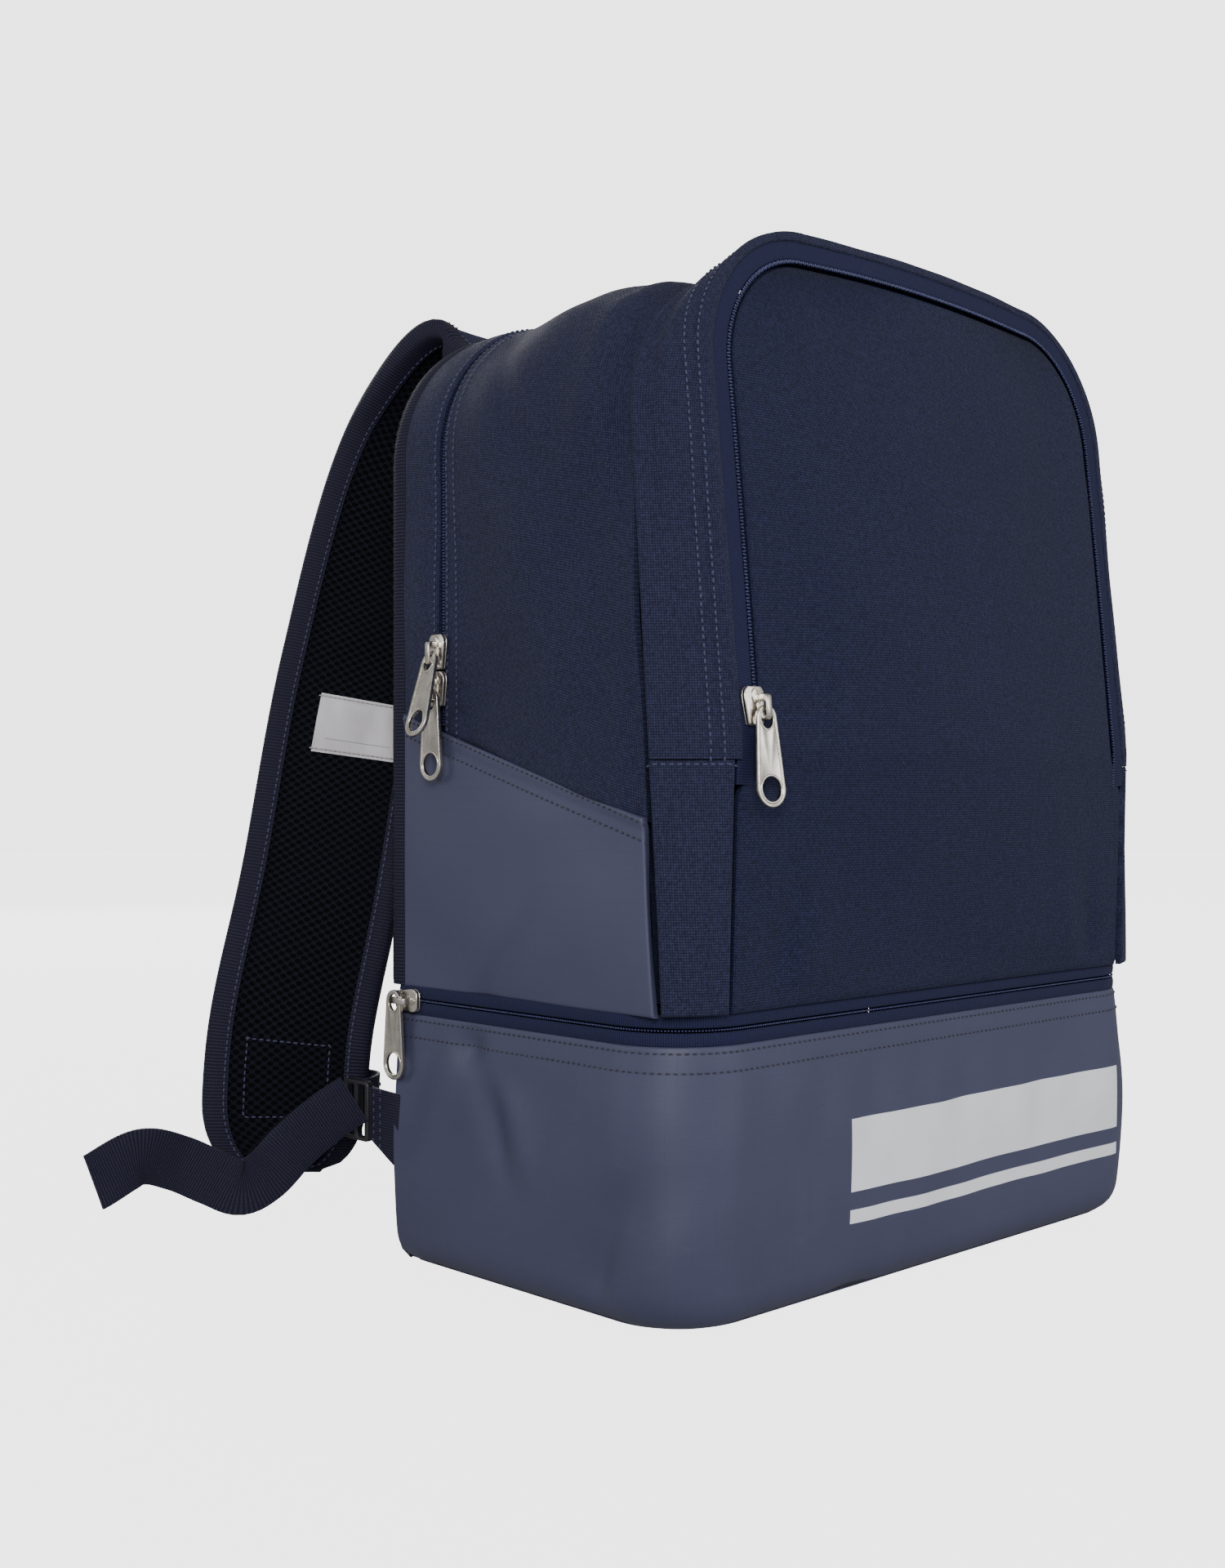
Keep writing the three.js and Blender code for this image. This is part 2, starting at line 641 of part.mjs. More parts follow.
function strapBinding() {
  const inner = strapOutline(STRAP_LEN_STEPS, BINDING_GAP);
  const outer = strapOutline(STRAP_LEN_STEPS, BINDING_GAP + BINDING_T);
  const count = inner.length;
  const face = (outline) => (u, v) => {
    const [s, q] = outline[Math.round(u * count) % count];
    return onStrap(s, q, lerp(-meshOut - 0.2, STRAP_T / 2 + 0.2, v));
  };
  return slab(face(outer), face(inner), count, 1, true);
}

// A flat ribbon along a curve through points, its width lying along side(u).
function ribbon(points, side, width, thick, steps) {
  const curve = new THREE.CatmullRomCurve3(points, false, "centripetal");
  const face = (h) => (u, v) => {
    const tangent = curve.getTangentAt(u);
    const facing = side(u).clone();
    const across = facing.clone().cross(tangent).normalize();
    const off = tangent.clone().cross(across).normalize();
    return curve.getPointAt(u).addScaledVector(across, (v - 0.5) * width).addScaledVector(off, h);
  };
  return slab(face(-thick / 2), face(thick / 2), steps, 1);
}

const LABEL = { s: 245, q: 7, long: 31, wide: 45, thick: 0.7 };

function nameLabel() {
  const h = -(meshOut + GAP);
  const face = (off) => (u, v) => {
    const s = LABEL.s + lerp(-0.5, 0.5, u) * LABEL.long;
    return onStrap(s, LABEL.q + lerp(-0.5, 0.5, v) * LABEL.wide, off);
  };
  return slab(face(h - LABEL.thick), face(h), 6, 4);
}

// The corner tab stands out of the bag's rear edge and carries the ladder lock.
const TAB_X = -HALF_WIDTH - GAP - 1;
const TAB_T = 2;
const TAB_Y = [84, 107];
const LOCK_Y = [TAB_Y[1] + GAP, TAB_Y[1] + GAP + 20];
const LOCK_Z = 68;
const LOCK_W = 29;
const LOCK_T = 3.6;

// A plate with its outline in Y and Z, standing from x towards -X.
function sidePlate(shape, x, thick) {
  const geometry = new THREE.ExtrudeGeometry(shape, { depth: thick, bevelEnabled: false });
  const turn = new THREE.Matrix4().makeBasis(vec(0, 1, 0), vec(0, 0, 1), vec(1, 0, 0));
  return geometry.applyMatrix4(turn).translate(x - thick, 0, 0);
}

function cornerTab() {
  const shape = new THREE.Shape();
  shape.moveTo(TAB_Y[0], LOCK_Z - 24);
  shape.lineTo(TAB_Y[1], LOCK_Z - 12);
  shape.lineTo(TAB_Y[1], LOCK_Z + 12);
  shape.lineTo(TAB_Y[0], LOCK_Z + 11); // stays below the bottom slider's pull
  return sidePlate(shape, TAB_X, TAB_T);
}

function rectangle(Kind, y0, y1, z0, z1) {
  const path = new Kind();
  path.moveTo(y0, z0);
  path.lineTo(y1, z0);
  path.lineTo(y1, z1);
  path.lineTo(y0, z1);
  return path;
}

function ladderLock() {
  const [y0, y1] = LOCK_Y;
  const [z0, z1] = [LOCK_Z - LOCK_W / 2, LOCK_Z + LOCK_W / 2];
  const shape = rectangle(THREE.Shape, y0, y1, z0, z1);
  shape.holes.push(rectangle(THREE.Path, y0 + 3, y0 + 8.5, z0 + 2, z1 - 2));
  shape.holes.push(rectangle(THREE.Path, y0 + 11.5, y0 + 17, z0 + 2.6, z1 - 2.6));
  return sidePlate(shape, TAB_X + 0.8, LOCK_T);
}

// The load webbing leaves the lock, goes round the pad's edge and is sewn to its outer face.
function loadWebbing() {
  const s = strapLength - 36;
  const edge = STRAP_W / 2 + BINDING_GAP + BINDING_T + 3;
  const behind = STRAP_T / 2 + GAP + WEB_T;
  const start = vec(TAB_X - 1, LOCK_Y[1] + 6.4, LOCK_Z);
  const around = [onStrap(s, edge, -9), onStrap(s, edge, 4), onStrap(s, edge - 8, behind + 1)];
  const sewn = [onStrap(s, 22, behind), onStrap(s, 0, behind)];
  const points = [start, ...around, ...sewn];
  const middle = onStrap(s, 12, -2);
  const curve = new THREE.CatmullRomCurve3(points, false, "centripetal");
  const facing = (u) => curve.getPointAt(u).sub(middle);
  return ribbon(points, facing, WEB_W - 2, WEB_T, 18);
}

// The loose tail comes off the front of the lock, hangs across the pad and turns outwards.
const TAIL_POINTS = [
  [-188.4, 109.3, 75],
  [-200, 115, 67],
  [-217, 118, 55],
  [-231, 120, 43],
  [-242, 122, 39],
  [-255, 125, 45],
  [-272, 127, 54],
  [-292, 124, 60],
  [-316, 121, 53],
];

function looseTail() {
  const facing = vec(-0.42, -0.9, 0);
  return ribbon(TAIL_POINTS.map((p) => vec(...p)), () => facing, WEB_W, WEB_T, 28);
}

const strapPieces = {
  pad: [strapLayer(-STRAP_T / 2, STRAP_T / 2, 0), "woven"],
  mesh: [strapLayer(-meshOut, -meshIn, 0.6), "airMesh"],
  binding: [strapBinding(), "binding"],
  webbing: [loadWebbing(), "webbing"],
  tail: [looseTail(), "webbing"],
  lock: [ladderLock(), "plastic"],
  tab: [cornerTab(), "webbing"],
};
for (const [piece, [geometry, look]] of Object.entries(strapPieces)) {
  add("strap_" + piece + "_left", geometry, look);
  add("strap_" + piece + "_right", mirrored(geometry), look);
}
add("name_label", nameLabel(), "label");

// ---- Haul loop, lying down against the back ----

const LOOP = { half: 34, z: 442, drop: 34, width: 20, thick: 2.4 };

function haulLoop() {
  const point = (y) => (u, v) => {
    const a = Math.PI * u;
    const reach = (v - 0.5) * LOOP.width;
    const x = -(LOOP.half + reach) * Math.cos(a);
    return vec(x, y, LOOP.z - (LOOP.drop + reach) * Math.sin(a));
  };
  const y0 = coverY + GAP;
  return slab(point(y0), point(y0 + LOOP.thick), 20, 2);
}
add("haul_loop", haulLoop(), "webbing");

export default root;
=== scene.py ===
"""School sports backpack with a zipped front pocket and a zipped shoe compartment."""

import math

import bmesh
import bpy
import numpy as np
from bpy.props import FloatProperty, FloatVectorProperty, IntProperty, PointerProperty
from mathutils import Matrix, Vector


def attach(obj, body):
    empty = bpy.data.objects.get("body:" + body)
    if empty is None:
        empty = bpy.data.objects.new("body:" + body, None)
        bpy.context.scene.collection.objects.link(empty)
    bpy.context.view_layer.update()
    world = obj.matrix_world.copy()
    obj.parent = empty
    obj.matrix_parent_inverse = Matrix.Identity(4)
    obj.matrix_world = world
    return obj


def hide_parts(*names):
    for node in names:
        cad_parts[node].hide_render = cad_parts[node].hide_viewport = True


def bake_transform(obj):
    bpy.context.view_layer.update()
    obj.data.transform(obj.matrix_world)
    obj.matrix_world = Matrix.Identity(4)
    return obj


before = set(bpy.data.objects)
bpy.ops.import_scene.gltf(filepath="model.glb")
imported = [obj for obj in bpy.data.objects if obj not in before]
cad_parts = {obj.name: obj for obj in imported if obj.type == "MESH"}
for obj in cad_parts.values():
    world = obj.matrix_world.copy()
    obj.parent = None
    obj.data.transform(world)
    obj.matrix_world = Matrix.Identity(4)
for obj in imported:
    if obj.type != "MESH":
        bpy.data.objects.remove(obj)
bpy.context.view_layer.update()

bl_info = {
    "name": "School sports backpack",
    "version": (1, 0, 0),
    "blender": (4, 5, 0),
    "location": "View3D > Sidebar > Backpack",
    "description": "Makes a backpack with a front pocket and a shoe compartment",
    "category": "Add Mesh",
}

MM = 0.001
PI = math.pi

# ---- Sizes of the bag, in millimetres ----
GAP = 0.3
CLOTH = 2.2
HALF_WIDTH = 178.0
FRONT_Y, REAR_Y, SIDE_REAR_Y = -95.0, 92.0, 84.0
FRONT_CORNER_R, REAR_CORNER_R = 38.0, 5.0
REAR_JOIN_Y = REAR_Y - REAR_CORNER_R
ZIP_Z = 124.0
TAPE_W, COIL_W = 5.2, 1.4
BASE_T = 2.4
SHOE_TOP = 117.8
UPPER_BOTTOM = 130.5
BODY_TOP, BODY_CROWN, BODY_R = 444.0, 7.0, 70.0
BODY_FRONT_Y, BODY_LEAN = -84.0, 0.07
SEAM = 3.4
SIDE_EDGE_REAR_Z, SIDE_EDGE_FRONT_Z = 258.0, 211.0
MAIN_ZIP_Y, MAIN_TAPE_W, MAIN_COIL_W, MAIN_ZIP_END_Z = 56.0, 8.0, 3.0, 252.0
POCKET_Y, POCKET_LEAN, POCKET_BULGE = -101.0, 0.1, 11.0
POCKET_HALF, POCKET_TOP, POCKET_R = 152.0, 466.0, 68.0
POCKET_TAPE_W, POCKET_COIL_W = 7.0, 5.0
TAPE_INSET, COIL_INSET, INNER_TAPE_INSET, PANEL_INSET = 3.4, 10.7, 16.0, 16.6
POCKET_FOOT_Z = 224.0
HINGE_Z, FOOT_Z = 240.0, 234.0
STRAP_W, STRAP_T = 74.0, 9.0
WEB_W, WEB_T = 25.0, 1.6
TAB_X, TAB_T = HALF_WIDTH + GAP + 1.0, 2.2
TAB_Y = (83.4, 107.0)
LOCK_Y, LOCK_LONG, LOCK_T = TAB_Y[1] + GAP, 20.0, 3.6
LOCK_Z, LOCK_W = 68.0, 29.0
STRAP_FLAT_END = 36.0                     # the strap's last stretch, where the webbing is sewn on

# ---- Filling of the strap pads by cloth simulation, in metres ----
PAD_VOXEL, PAD_SWELL, PAD_PRESSURE, PAD_STEPS = 0.0035, 0.003, 4.0, 20

# ---- Camera, in metres and degrees ----
CAMERA_PLACE, CAMERA_TILT, CAMERA_TURN = (-0.68027, -0.57995, 0.22135), 90.233, -43.859
CAMERA_LENS, CAMERA_FILM = 40.42, 36.0

# ---- Light, as brightness seen by the camera and as light on the bag ----
WORLD_SEEN, WORLD_LIGHT, FLOOR_SEEN = 4.0, 0.55, 4.0


class BackpackColours(bpy.types.PropertyGroup):
    woven: FloatVectorProperty(
        name="Woven cloth", description="Colour of the polyester canvas",
        subtype="COLOR", default=(0.0127, 0.0160, 0.0455), min=0, max=1)
    coated: FloatVectorProperty(
        name="Coated cloth", description="Colour of the coated panels",
        subtype="COLOR", default=(0.048, 0.0515, 0.098), min=0, max=1)
    tape: FloatVectorProperty(
        name="Zip tape", description="Colour of the zip tapes",
        subtype="COLOR", default=(0.0150, 0.0180, 0.060), min=0, max=1)
    mesh: FloatVectorProperty(
        name="Air mesh", description="Colour of the mesh on the straps and the back",
        subtype="COLOR", default=(0.0048, 0.0056, 0.0125), min=0, max=1)
    webbing: FloatVectorProperty(
        name="Webbing", description="Colour of the webbing and the binding",
        subtype="COLOR", default=(0.0120, 0.0120, 0.0270), min=0, max=1)
    label: FloatVectorProperty(
        name="Label", description="Colour of the satin name label",
        subtype="COLOR", default=(0.52, 0.50, 0.53), min=0, max=1)
    metal: FloatVectorProperty(
        name="Zip metal", description="Colour of the nickel sliders and pulls",
        subtype="COLOR", default=(0.62, 0.58, 0.52), min=0, max=1)


class BackpackSizes(bpy.types.PropertyGroup):
    stitch_pitch: FloatProperty(
        name="Stitch pitch", description="Distance from one stitch to the next",
        subtype="DISTANCE", unit="LENGTH", default=0.0033, min=0.001, max=0.02)
    weave_pitch: FloatProperty(
        name="Weave pitch", description="Distance between the threads of the canvas",
        subtype="DISTANCE", unit="LENGTH", default=0.0011, min=0.0003, max=0.01)
    bulge: FloatProperty(
        name="Wall bulge", description="How far the filled walls stand out",
        subtype="DISTANCE", unit="LENGTH", default=0.003, min=0, max=0.008)
    tooth_pitch: FloatProperty(
        name="Coil pitch", description="Distance between the turns of a zip coil",
        subtype="DISTANCE", unit="LENGTH", default=0.0014, min=0.0006, max=0.01)
    stripes: IntProperty(
        name="Printed stripes", description="Plain stripes on the compartment's front",
        default=2, min=0, max=4)


def colours():
    return bpy.context.scene.backpack_colours


def sizes():
    return bpy.context.scene.backpack_sizes


# ---- Numbers ----

def lerp(a, b, t):
    return a + (b - a) * t


def smooth(t):
    t = np.clip(t, 0, 1)
    return t * t * (3 - 2 * t)


def bump_at(x, centre, width):
    return np.exp(-(((x - centre) / width) ** 2))


def xyz(x, y, z):
    return np.stack(np.broadcast_arrays(x, y, z), axis=-1).astype(float)


def ripple(p, wave, seed, stretch=(1, 1, 1), terms=7):
    """A smooth random field from about -1 to 1, the same on every run."""
    rng = np.random.default_rng(seed)
    total = 0
    q = p * np.array(stretch, float)
    for _ in range(terms):
        way = rng.normal(size=3)
        way /= np.linalg.norm(way)
        freq = 2 * PI / (wave * rng.uniform(0.6, 1.5))
        total = total + np.sin(q @ way * freq + rng.uniform(0, 2 * PI))
    return total / math.sqrt(terms) * 0.8


def arc_lengths(points, axis):
    step = np.linalg.norm(np.diff(points, axis=axis), axis=-1)
    start = np.zeros_like(np.take(step, [0], axis=axis))
    return np.concatenate([start, np.cumsum(step, axis=axis)], axis=axis)


def grid_normals(p, centre=None, way=None, closed_u=False):
    if closed_u:
        du = np.roll(p, -1, 0) - np.roll(p, 1, 0)
    else:
        du = np.gradient(p, axis=0)
    dv = np.gradient(p, axis=1)
    n = np.cross(du, dv)
    n /= np.maximum(np.linalg.norm(n, axis=-1, keepdims=True), 1e-9)
    if way is not None:
        out = np.broadcast_to(np.array(way, float), p.shape)
    else:
        out = p - np.array(centre if centre is not None else (0, 0, 240), float)
    return n if (n * out).sum() > 0 else -n


# ---- Meshes ----

def link(name, mesh):
    obj = bpy.data.objects.new(name, mesh)
    bpy.context.scene.collection.objects.link(obj)
    return obj


def raw_mesh(name, verts, faces, uvs=None, sharp=math.radians(50)):
    mesh = bpy.data.meshes.new(name)
    mesh.from_pydata((np.asarray(verts) * MM).tolist(), [], faces)
    if uvs is not None:
        layer = mesh.uv_layers.new(name="Cloth")
        corner = np.empty(len(mesh.loops), int)
        mesh.loops.foreach_get("vertex_index", corner)
        layer.data.foreach_set("uv", (np.asarray(uvs)[corner] * MM).ravel())
    mesh.polygons.foreach_set("use_smooth", [True] * len(mesh.polygons))
    if sharp:
        mesh.set_sharp_from_angle(angle=sharp)
    mesh.validate()
    mesh.update()
    return mesh


def finish_piece(obj, material, body, replaces=()):
    for m in material if isinstance(material, (list, tuple)) else [material]:
        obj.data.materials.append(m)
    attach(obj, body)
    if replaces:
        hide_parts(*replaces)
    return obj


def rolled(p, n, roll, radius=1.6):
    """Turns the chosen edges of a panel in towards its back, as a sewn edge does."""
    lu, lv = arc_lengths(p, 0), arc_lengths(p, 1)
    near = [lu, lu[-1:] - lu, lv, lv[:, -1:] - lv]
    drop = 0
    for wanted, d in zip(roll, near):
        if wanted:
            t = np.clip(1 - d / radius, 0, 1)
            drop = np.maximum(drop, 1 - np.sqrt(1 - t * t))
    drop = np.asarray(drop)[..., None] if np.ndim(drop) else 0
    return p - n * drop * radius * 0.75


def edged(count, length, width=1.6, ends=(True, True)):
    """Parameters from 0 to 1, with extra ones close to the ends for the rolled edge."""
    inner = np.linspace(0, 1, count + 1)
    if length <= 4 * width:
        return inner
    k = width / length
    extra = np.array([0.15, 0.4, 0.75]) * k
    keep = inner[(inner > (k if ends[0] else -1)) & (inner < (1 - k if ends[1] else 2))]
    parts = [keep]
    if ends[0]:
        parts = [[0], extra, [k]] + parts
    if ends[1]:
        parts += [[1 - k], 1 - extra[::-1], [1]]
    return np.unique(np.concatenate(parts))


def shell(name, p, n, thick, closed_u=False):
    """A closed slab: p is its outer face, and its back is thick behind it along -n."""
    nu, nv = p.shape[0], p.shape[1]
    back = p - n * thick
    verts = np.concatenate([p.reshape(-1, 3), back.reshape(-1, 3)])
    if closed_u:
        ring = np.concatenate([p, p[:1]], 0)
        lu = arc_lengths(ring, 0)[:-1]
    else:
        lu = arc_lengths(p, 0)
    lv = arc_lengths(p, 1)
    mid = nv // 2
    uv = np.stack([np.repeat(lu[:, mid:mid + 1], nv, 1), lv], -1).reshape(-1, 2)
    uvs = np.concatenate([uv, uv])
    count = nu * nv
    rows = nu if closed_u else nu - 1
    i, j = np.meshgrid(np.arange(rows), np.arange(nv - 1), indexing="ij")
    a = (i * nv + j).ravel()
    b = (((i + 1) % nu) * nv + j).ravel()
    front = np.stack([a, b, b + 1, a + 1], 1)
    du, dv = p[1, 0] - p[0, 0], p[0, 1] - p[0, 0]
    mi, mj = rows // 2, (nv - 1) // 2
    du, dv = p[(mi + 1) % nu, mj] - p[mi, mj], p[mi, mj + 1] - p[mi, mj]
    if np.dot(np.cross(du, dv), n[mi, mj]) < 0:
        front = front[:, ::-1]
        flip = True
    else:
        flip = False
    rear = front[:, ::-1] + count
    sides = []

    def strip(line, forward):
        line = np.asarray(line)
        q = np.stack([line[:-1], line[:-1] + count, line[1:] + count, line[1:]], 1)
        sides.append(q if forward != flip else q[:, ::-1])

    ids = np.arange(count).reshape(nu, nv)
    loop = np.concatenate([ids, ids[:1]], 0) if closed_u else ids
    strip(loop[:, 0], True)
    strip(loop[:, -1], False)
    if not closed_u:
        strip(ids[0], False)
        strip(ids[-1], True)
    faces = np.concatenate([front, rear] + sides)
    return link(name, raw_mesh(name, verts, faces.tolist(), uvs))


def panel(name, point, us, vs, material, body, slot, replaces=(), thick=CLOTH,
          relief=None, roll=(1, 1, 1, 1), centre=None, way=None, radius=1.6):
    """A sewn cloth panel from its surface; returns the piece and its faced surface."""
    u, v = np.meshgrid(us, vs, indexing="ij")
    p = point(u, v)
    n = grid_normals(p, centre, way)
    if relief is not None:
        p = p + n * relief(p, u, v)[..., None]
        n = grid_normals(p, centre, way)
    p = rolled(p, n, roll, radius)
    obj = shell(name, p, n, thick)
    finish_piece(obj, material, body, replaces)
    return obj, p, n


def row_at(p, n, axis, distance, lift=0.25, span=(0.0, 1.0)):
    """A line on a surface at a distance in mm from one edge; axis 1 runs along u."""
    if axis == 0:
        p, n = p.swapaxes(0, 1), n.swapaxes(0, 1)
    lengths = arc_lengths(p, 1)
    pts, outs = [], []
    for k in range(p.shape[0]):
        want = distance if distance >= 0 else lengths[k, -1] + distance
        pts.append([np.interp(want, lengths[k], p[k, :, c]) for c in range(3)])
        outs.append([np.interp(want, lengths[k], n[k, :, c]) for c in range(3)])
    pts, outs = np.array(pts), np.array(outs)
    pts = pts + outs * lift
    total = arc_lengths(pts, 0)
    keep = (total >= span[0] * total[-1]) & (total <= span[1] * total[-1])
    return pts[keep], outs[keep]


# ---- The bag's curves ----

def arch(s, half, foot, top, r, crown):
    straight = top - r - foot
    bend = PI * r / 2
    flat = half - r
    d = np.where(s < 0.5, s, 1 - s) * 2 * (straight + bend + flat)
    side = np.where(s < 0.5, -1.0, 1.0)
    a = np.clip((d - straight) / r, 0, PI / 2)
    over = flat - (d - straight - bend)
    low, bent = d < straight, d < straight + bend
    x = np.where(low, half, np.where(bent, flat + r * np.cos(a), over))
    z_top = top + crown * (1 - np.clip(x / flat, -1, 1) ** 2)
    z = np.where(low, foot + d, np.where(bent, top - r + r * np.sin(a), z_top))
    return side * x, z


def body_front_y(z):
    return BODY_FRONT_Y + BODY_LEAN * (z - UPPER_BOTTOM)


def wall_front_y(z):
    return body_front_y(z) + SEAM


def front_y(x, z):
    rise = np.sin(PI * np.clip((z - UPPER_BOTTOM) / 360, 0, 1))
    lean = np.where(z > HINGE_Z, POCKET_LEAN * (z - HINGE_Z), 0.03 * (HINGE_Z - z))
    return POCKET_Y + lean - POCKET_BULGE * rise * (1 - (x / POCKET_HALF) ** 2)


def pocket_arch(s, inset, foot):
    x, z = arch(s, POCKET_HALF - inset, foot, POCKET_TOP - inset, POCKET_R - inset, 3)
    return xyz(x, front_y(x, z), z)


def three_sides(u, inset, rear_y):
    half, front = HALF_WIDTH - inset, FRONT_Y + inset
    r = FRONT_CORNER_R - inset
    side, bend, flat = rear_y - front - r, PI * r / 2, half - r
    d = np.where(u < 0.5, u, 1 - u) * 2 * (side + bend + flat)
    hand = np.where(u < 0.5, -1.0, 1.0)
    a = np.clip((d - side) / r, 0, PI / 2)
    straight, bent = d < side, d < side + bend
    x = np.where(straight, half, np.where(bent, flat + r * np.cos(a), flat - (d - side - bend)))
    y = np.where(straight, rear_y - d, np.where(bent, front + r - r * np.sin(a), front))
    return hand * x, y


def edge_z(y):
    t = (y - body_front_y(SIDE_EDGE_FRONT_Z)) / (SIDE_REAR_Y - BODY_FRONT_Y)
    return lerp(SIDE_EDGE_FRONT_Z, SIDE_EDGE_REAR_Z, t)


class Smooth3D:
    """A centripetal Catmull-Rom curve through points, by arc length."""

    def __init__(self, points, per=120):
        pts = np.array(points, float)
        ends = np.vstack([2 * pts[0] - pts[1], pts, 2 * pts[-1] - pts[-2]])
        out = []
        for i in range(1, len(ends) - 2):
            p0, p1, p2, p3 = ends[i - 1:i + 3]
            d0, d1, d2 = (np.linalg.norm(b - a) ** 0.5 for a, b in ((p0, p1), (p1, p2), (p2, p3)))
            t1 = ((p1 - p0) / d0 - (p2 - p0) / (d0 + d1) + (p2 - p1) / d1) * d1
            t2 = ((p2 - p1) / d1 - (p3 - p1) / (d1 + d2) + (p3 - p2) / d2) * d1
            t = np.linspace(0, 1, per, endpoint=False)[:, None]
            a = 2 * p1 - 2 * p2 + t1 + t2
            b = -3 * p1 + 3 * p2 - 2 * t1 - t2
            out.append(a * t ** 3 + b * t ** 2 + t1 * t + p1)
        self.line = np.vstack(out + [pts[-1:]])
        self.at = np.concatenate([[0], np.cumsum(np.linalg.norm(np.diff(self.line, axis=0), axis=1))])
        self.length = self.at[-1]
        self.knot = np.linspace(0, len(pts) - 1, len(self.line))
        way = np.gradient(self.line, self.at, axis=0)
        self.way = way / np.linalg.norm(way, axis=1, keepdims=True)

    def point(self, s):
        return np.stack([np.interp(s, self.at, self.line[:, k]) for k in range(3)], -1)

    def tangent(self, s):
        t = np.stack([np.interp(s, self.at, self.way[:, k]) for k in range(3)], -1)
        return t / np.linalg.norm(t, axis=-1, keepdims=True)


STRAP_POINTS = [(-90, 104, 438), (-94, 124, 450), (-110, 162, 398), (-144, 167, 285),
                (-175, 156, 175), (-192, 158, 100), (-195, 160, 36)]
STRAP_TURN = [0, -4, -30, -36, -40, -36, -30]
strap_curve = Smooth3D(STRAP_POINTS)
STRAP_LEN = strap_curve.length


def on_strap(s, q, h):
    s, q, h = np.broadcast_arrays(s, q, h)
    held = np.clip(s, 0, STRAP_LEN)
    t = strap_curve.tangent(held)
    knot = np.interp(held, strap_curve.at, strap_curve.knot)
    angle = np.radians(np.interp(knot, range(len(STRAP_TURN)), STRAP_TURN))
    across = xyz(np.cos(angle), np.sin(angle), 0 * angle)
    across = across - (across * t).sum(-1, keepdims=True) * t
    across /= np.linalg.norm(across, axis=-1, keepdims=True)
    off = np.cross(across, t)
    p = strap_curve.point(held) + t * (s - held)[..., None]
    return p + across * q[..., None] + off * h[..., None]


END_ROUND, END_NARROW = 34.0, 0.55


def half_strap(s):
    past = np.clip((s - (STRAP_LEN - END_ROUND)) / END_ROUND, 0, 1)
    return STRAP_W / 2 * (1 - END_NARROW * (1 - np.sqrt(1 - past ** 2)))


TAIL_POINTS = [(-188.4, 109.3, 75), (-200, 115, 67), (-217, 118, 55), (-231, 120, 43),
               (-242, 122, 39), (-255, 125, 45), (-272, 127, 54), (-292, 124, 60),
               (-316, 121, 53)]
TAIL_FACING = (-0.42, -0.9, 0.0)


# ---- Materials ----

class Surface:
    """Builds one material's nodes; coordinates are metres of the piece's own cloth map or space."""

    def __init__(self, name, mapped=True):
        self.mat = bpy.data.materials.new(name)
        self.mat.use_nodes = True
        self.tree = self.mat.node_tree
        self.shader = self.tree.nodes["Principled BSDF"]
        self.place = self.add("ShaderNodeTexCoord").outputs["Object"]
        self.cloth = self.place
        if mapped:
            node = self.add("ShaderNodeUVMap")
            node.uv_map = "Cloth"
            self.cloth = node.outputs["UV"]

    def add(self, kind, **settings):
        node = self.tree.nodes.new(kind)
        for key, value in settings.items():
            setattr(node, key, value)
        return node

    def wire(self, value, socket):
        if hasattr(value, "is_output"):
            self.tree.links.new(value, socket)
        else:
            socket.default_value = value

    def calc(self, operation, *values, clamp=False):
        node = self.add("ShaderNodeMath", operation=operation, use_clamp=clamp)
        for k, value in enumerate(values):
            self.wire(value, node.inputs[k])
        return node.outputs[0]

    def axes(self, vector):
        node = self.add("ShaderNodeSeparateXYZ")
        self.wire(vector, node.inputs[0])
        return node.outputs

    def noise(self, scale, detail=2.0, roughness=0.5, vector=None, stretch=None):
        vector = self.place if vector is None else vector
        if stretch is not None:
            node = self.add("ShaderNodeMapping")
            self.wire(vector, node.inputs["Vector"])
            node.inputs["Scale"].default_value = stretch
            vector = node.outputs[0]
        node = self.add("ShaderNodeTexNoise")
        self.wire(vector, node.inputs["Vector"])
        node.inputs["Scale"].default_value = scale
        node.inputs["Detail"].default_value = detail
        node.inputs["Roughness"].default_value = roughness
        return node.outputs["Fac"]

    def span(self, value, a, b, c=0.0, d=1.0):
        node = self.add("ShaderNodeMapRange")
        for k, v in enumerate((value, a, b, c, d)):
            self.wire(v, node.inputs[k])
        return node.outputs[0]

    def blend(self, fac, a, b, kind="MIX"):
        node = self.add("ShaderNodeMix", data_type="RGBA", blend_type=kind)
        self.wire(fac, node.inputs[0])
        for value, k in ((a, 6), (b, 7)):
            self.wire(value if hasattr(value, "is_output") else (*value[:3], 1), node.inputs[k])
        return node.outputs[2]

    def wave(self, value, pitch, phase=0.0):
        turned = self.calc("MULTIPLY_ADD", value, 2 * PI / pitch, phase)
        return self.calc("MULTIPLY_ADD", self.calc("SINE", turned), 0.5, 0.5)

    def finish(self, colour, roughness, height=None, depth=0.0005, strength=0.5, **sockets):
        self.wire(colour, self.shader.inputs["Base Color"])
        self.wire(roughness, self.shader.inputs["Roughness"])
        for name, value in sockets.items():
            self.shader.inputs[name.replace("_", " ")].default_value = value
        if height is not None:
            node = self.add("ShaderNodeBump")
            node.inputs["Strength"].default_value = strength
            node.inputs["Distance"].default_value = depth
            self.wire(height, node.inputs["Height"])
            self.tree.links.new(node.outputs[0], self.shader.inputs["Normal"])
        return self.mat


SIDE_LIGHT_TINT = (1.42, 1.26, 1.10)    # painted light: the front's canvas painted lighter and greyer on the sides, where more light falls


def tinted(colour, tint):
    return tuple(a * b for a, b in zip(colour, tint))


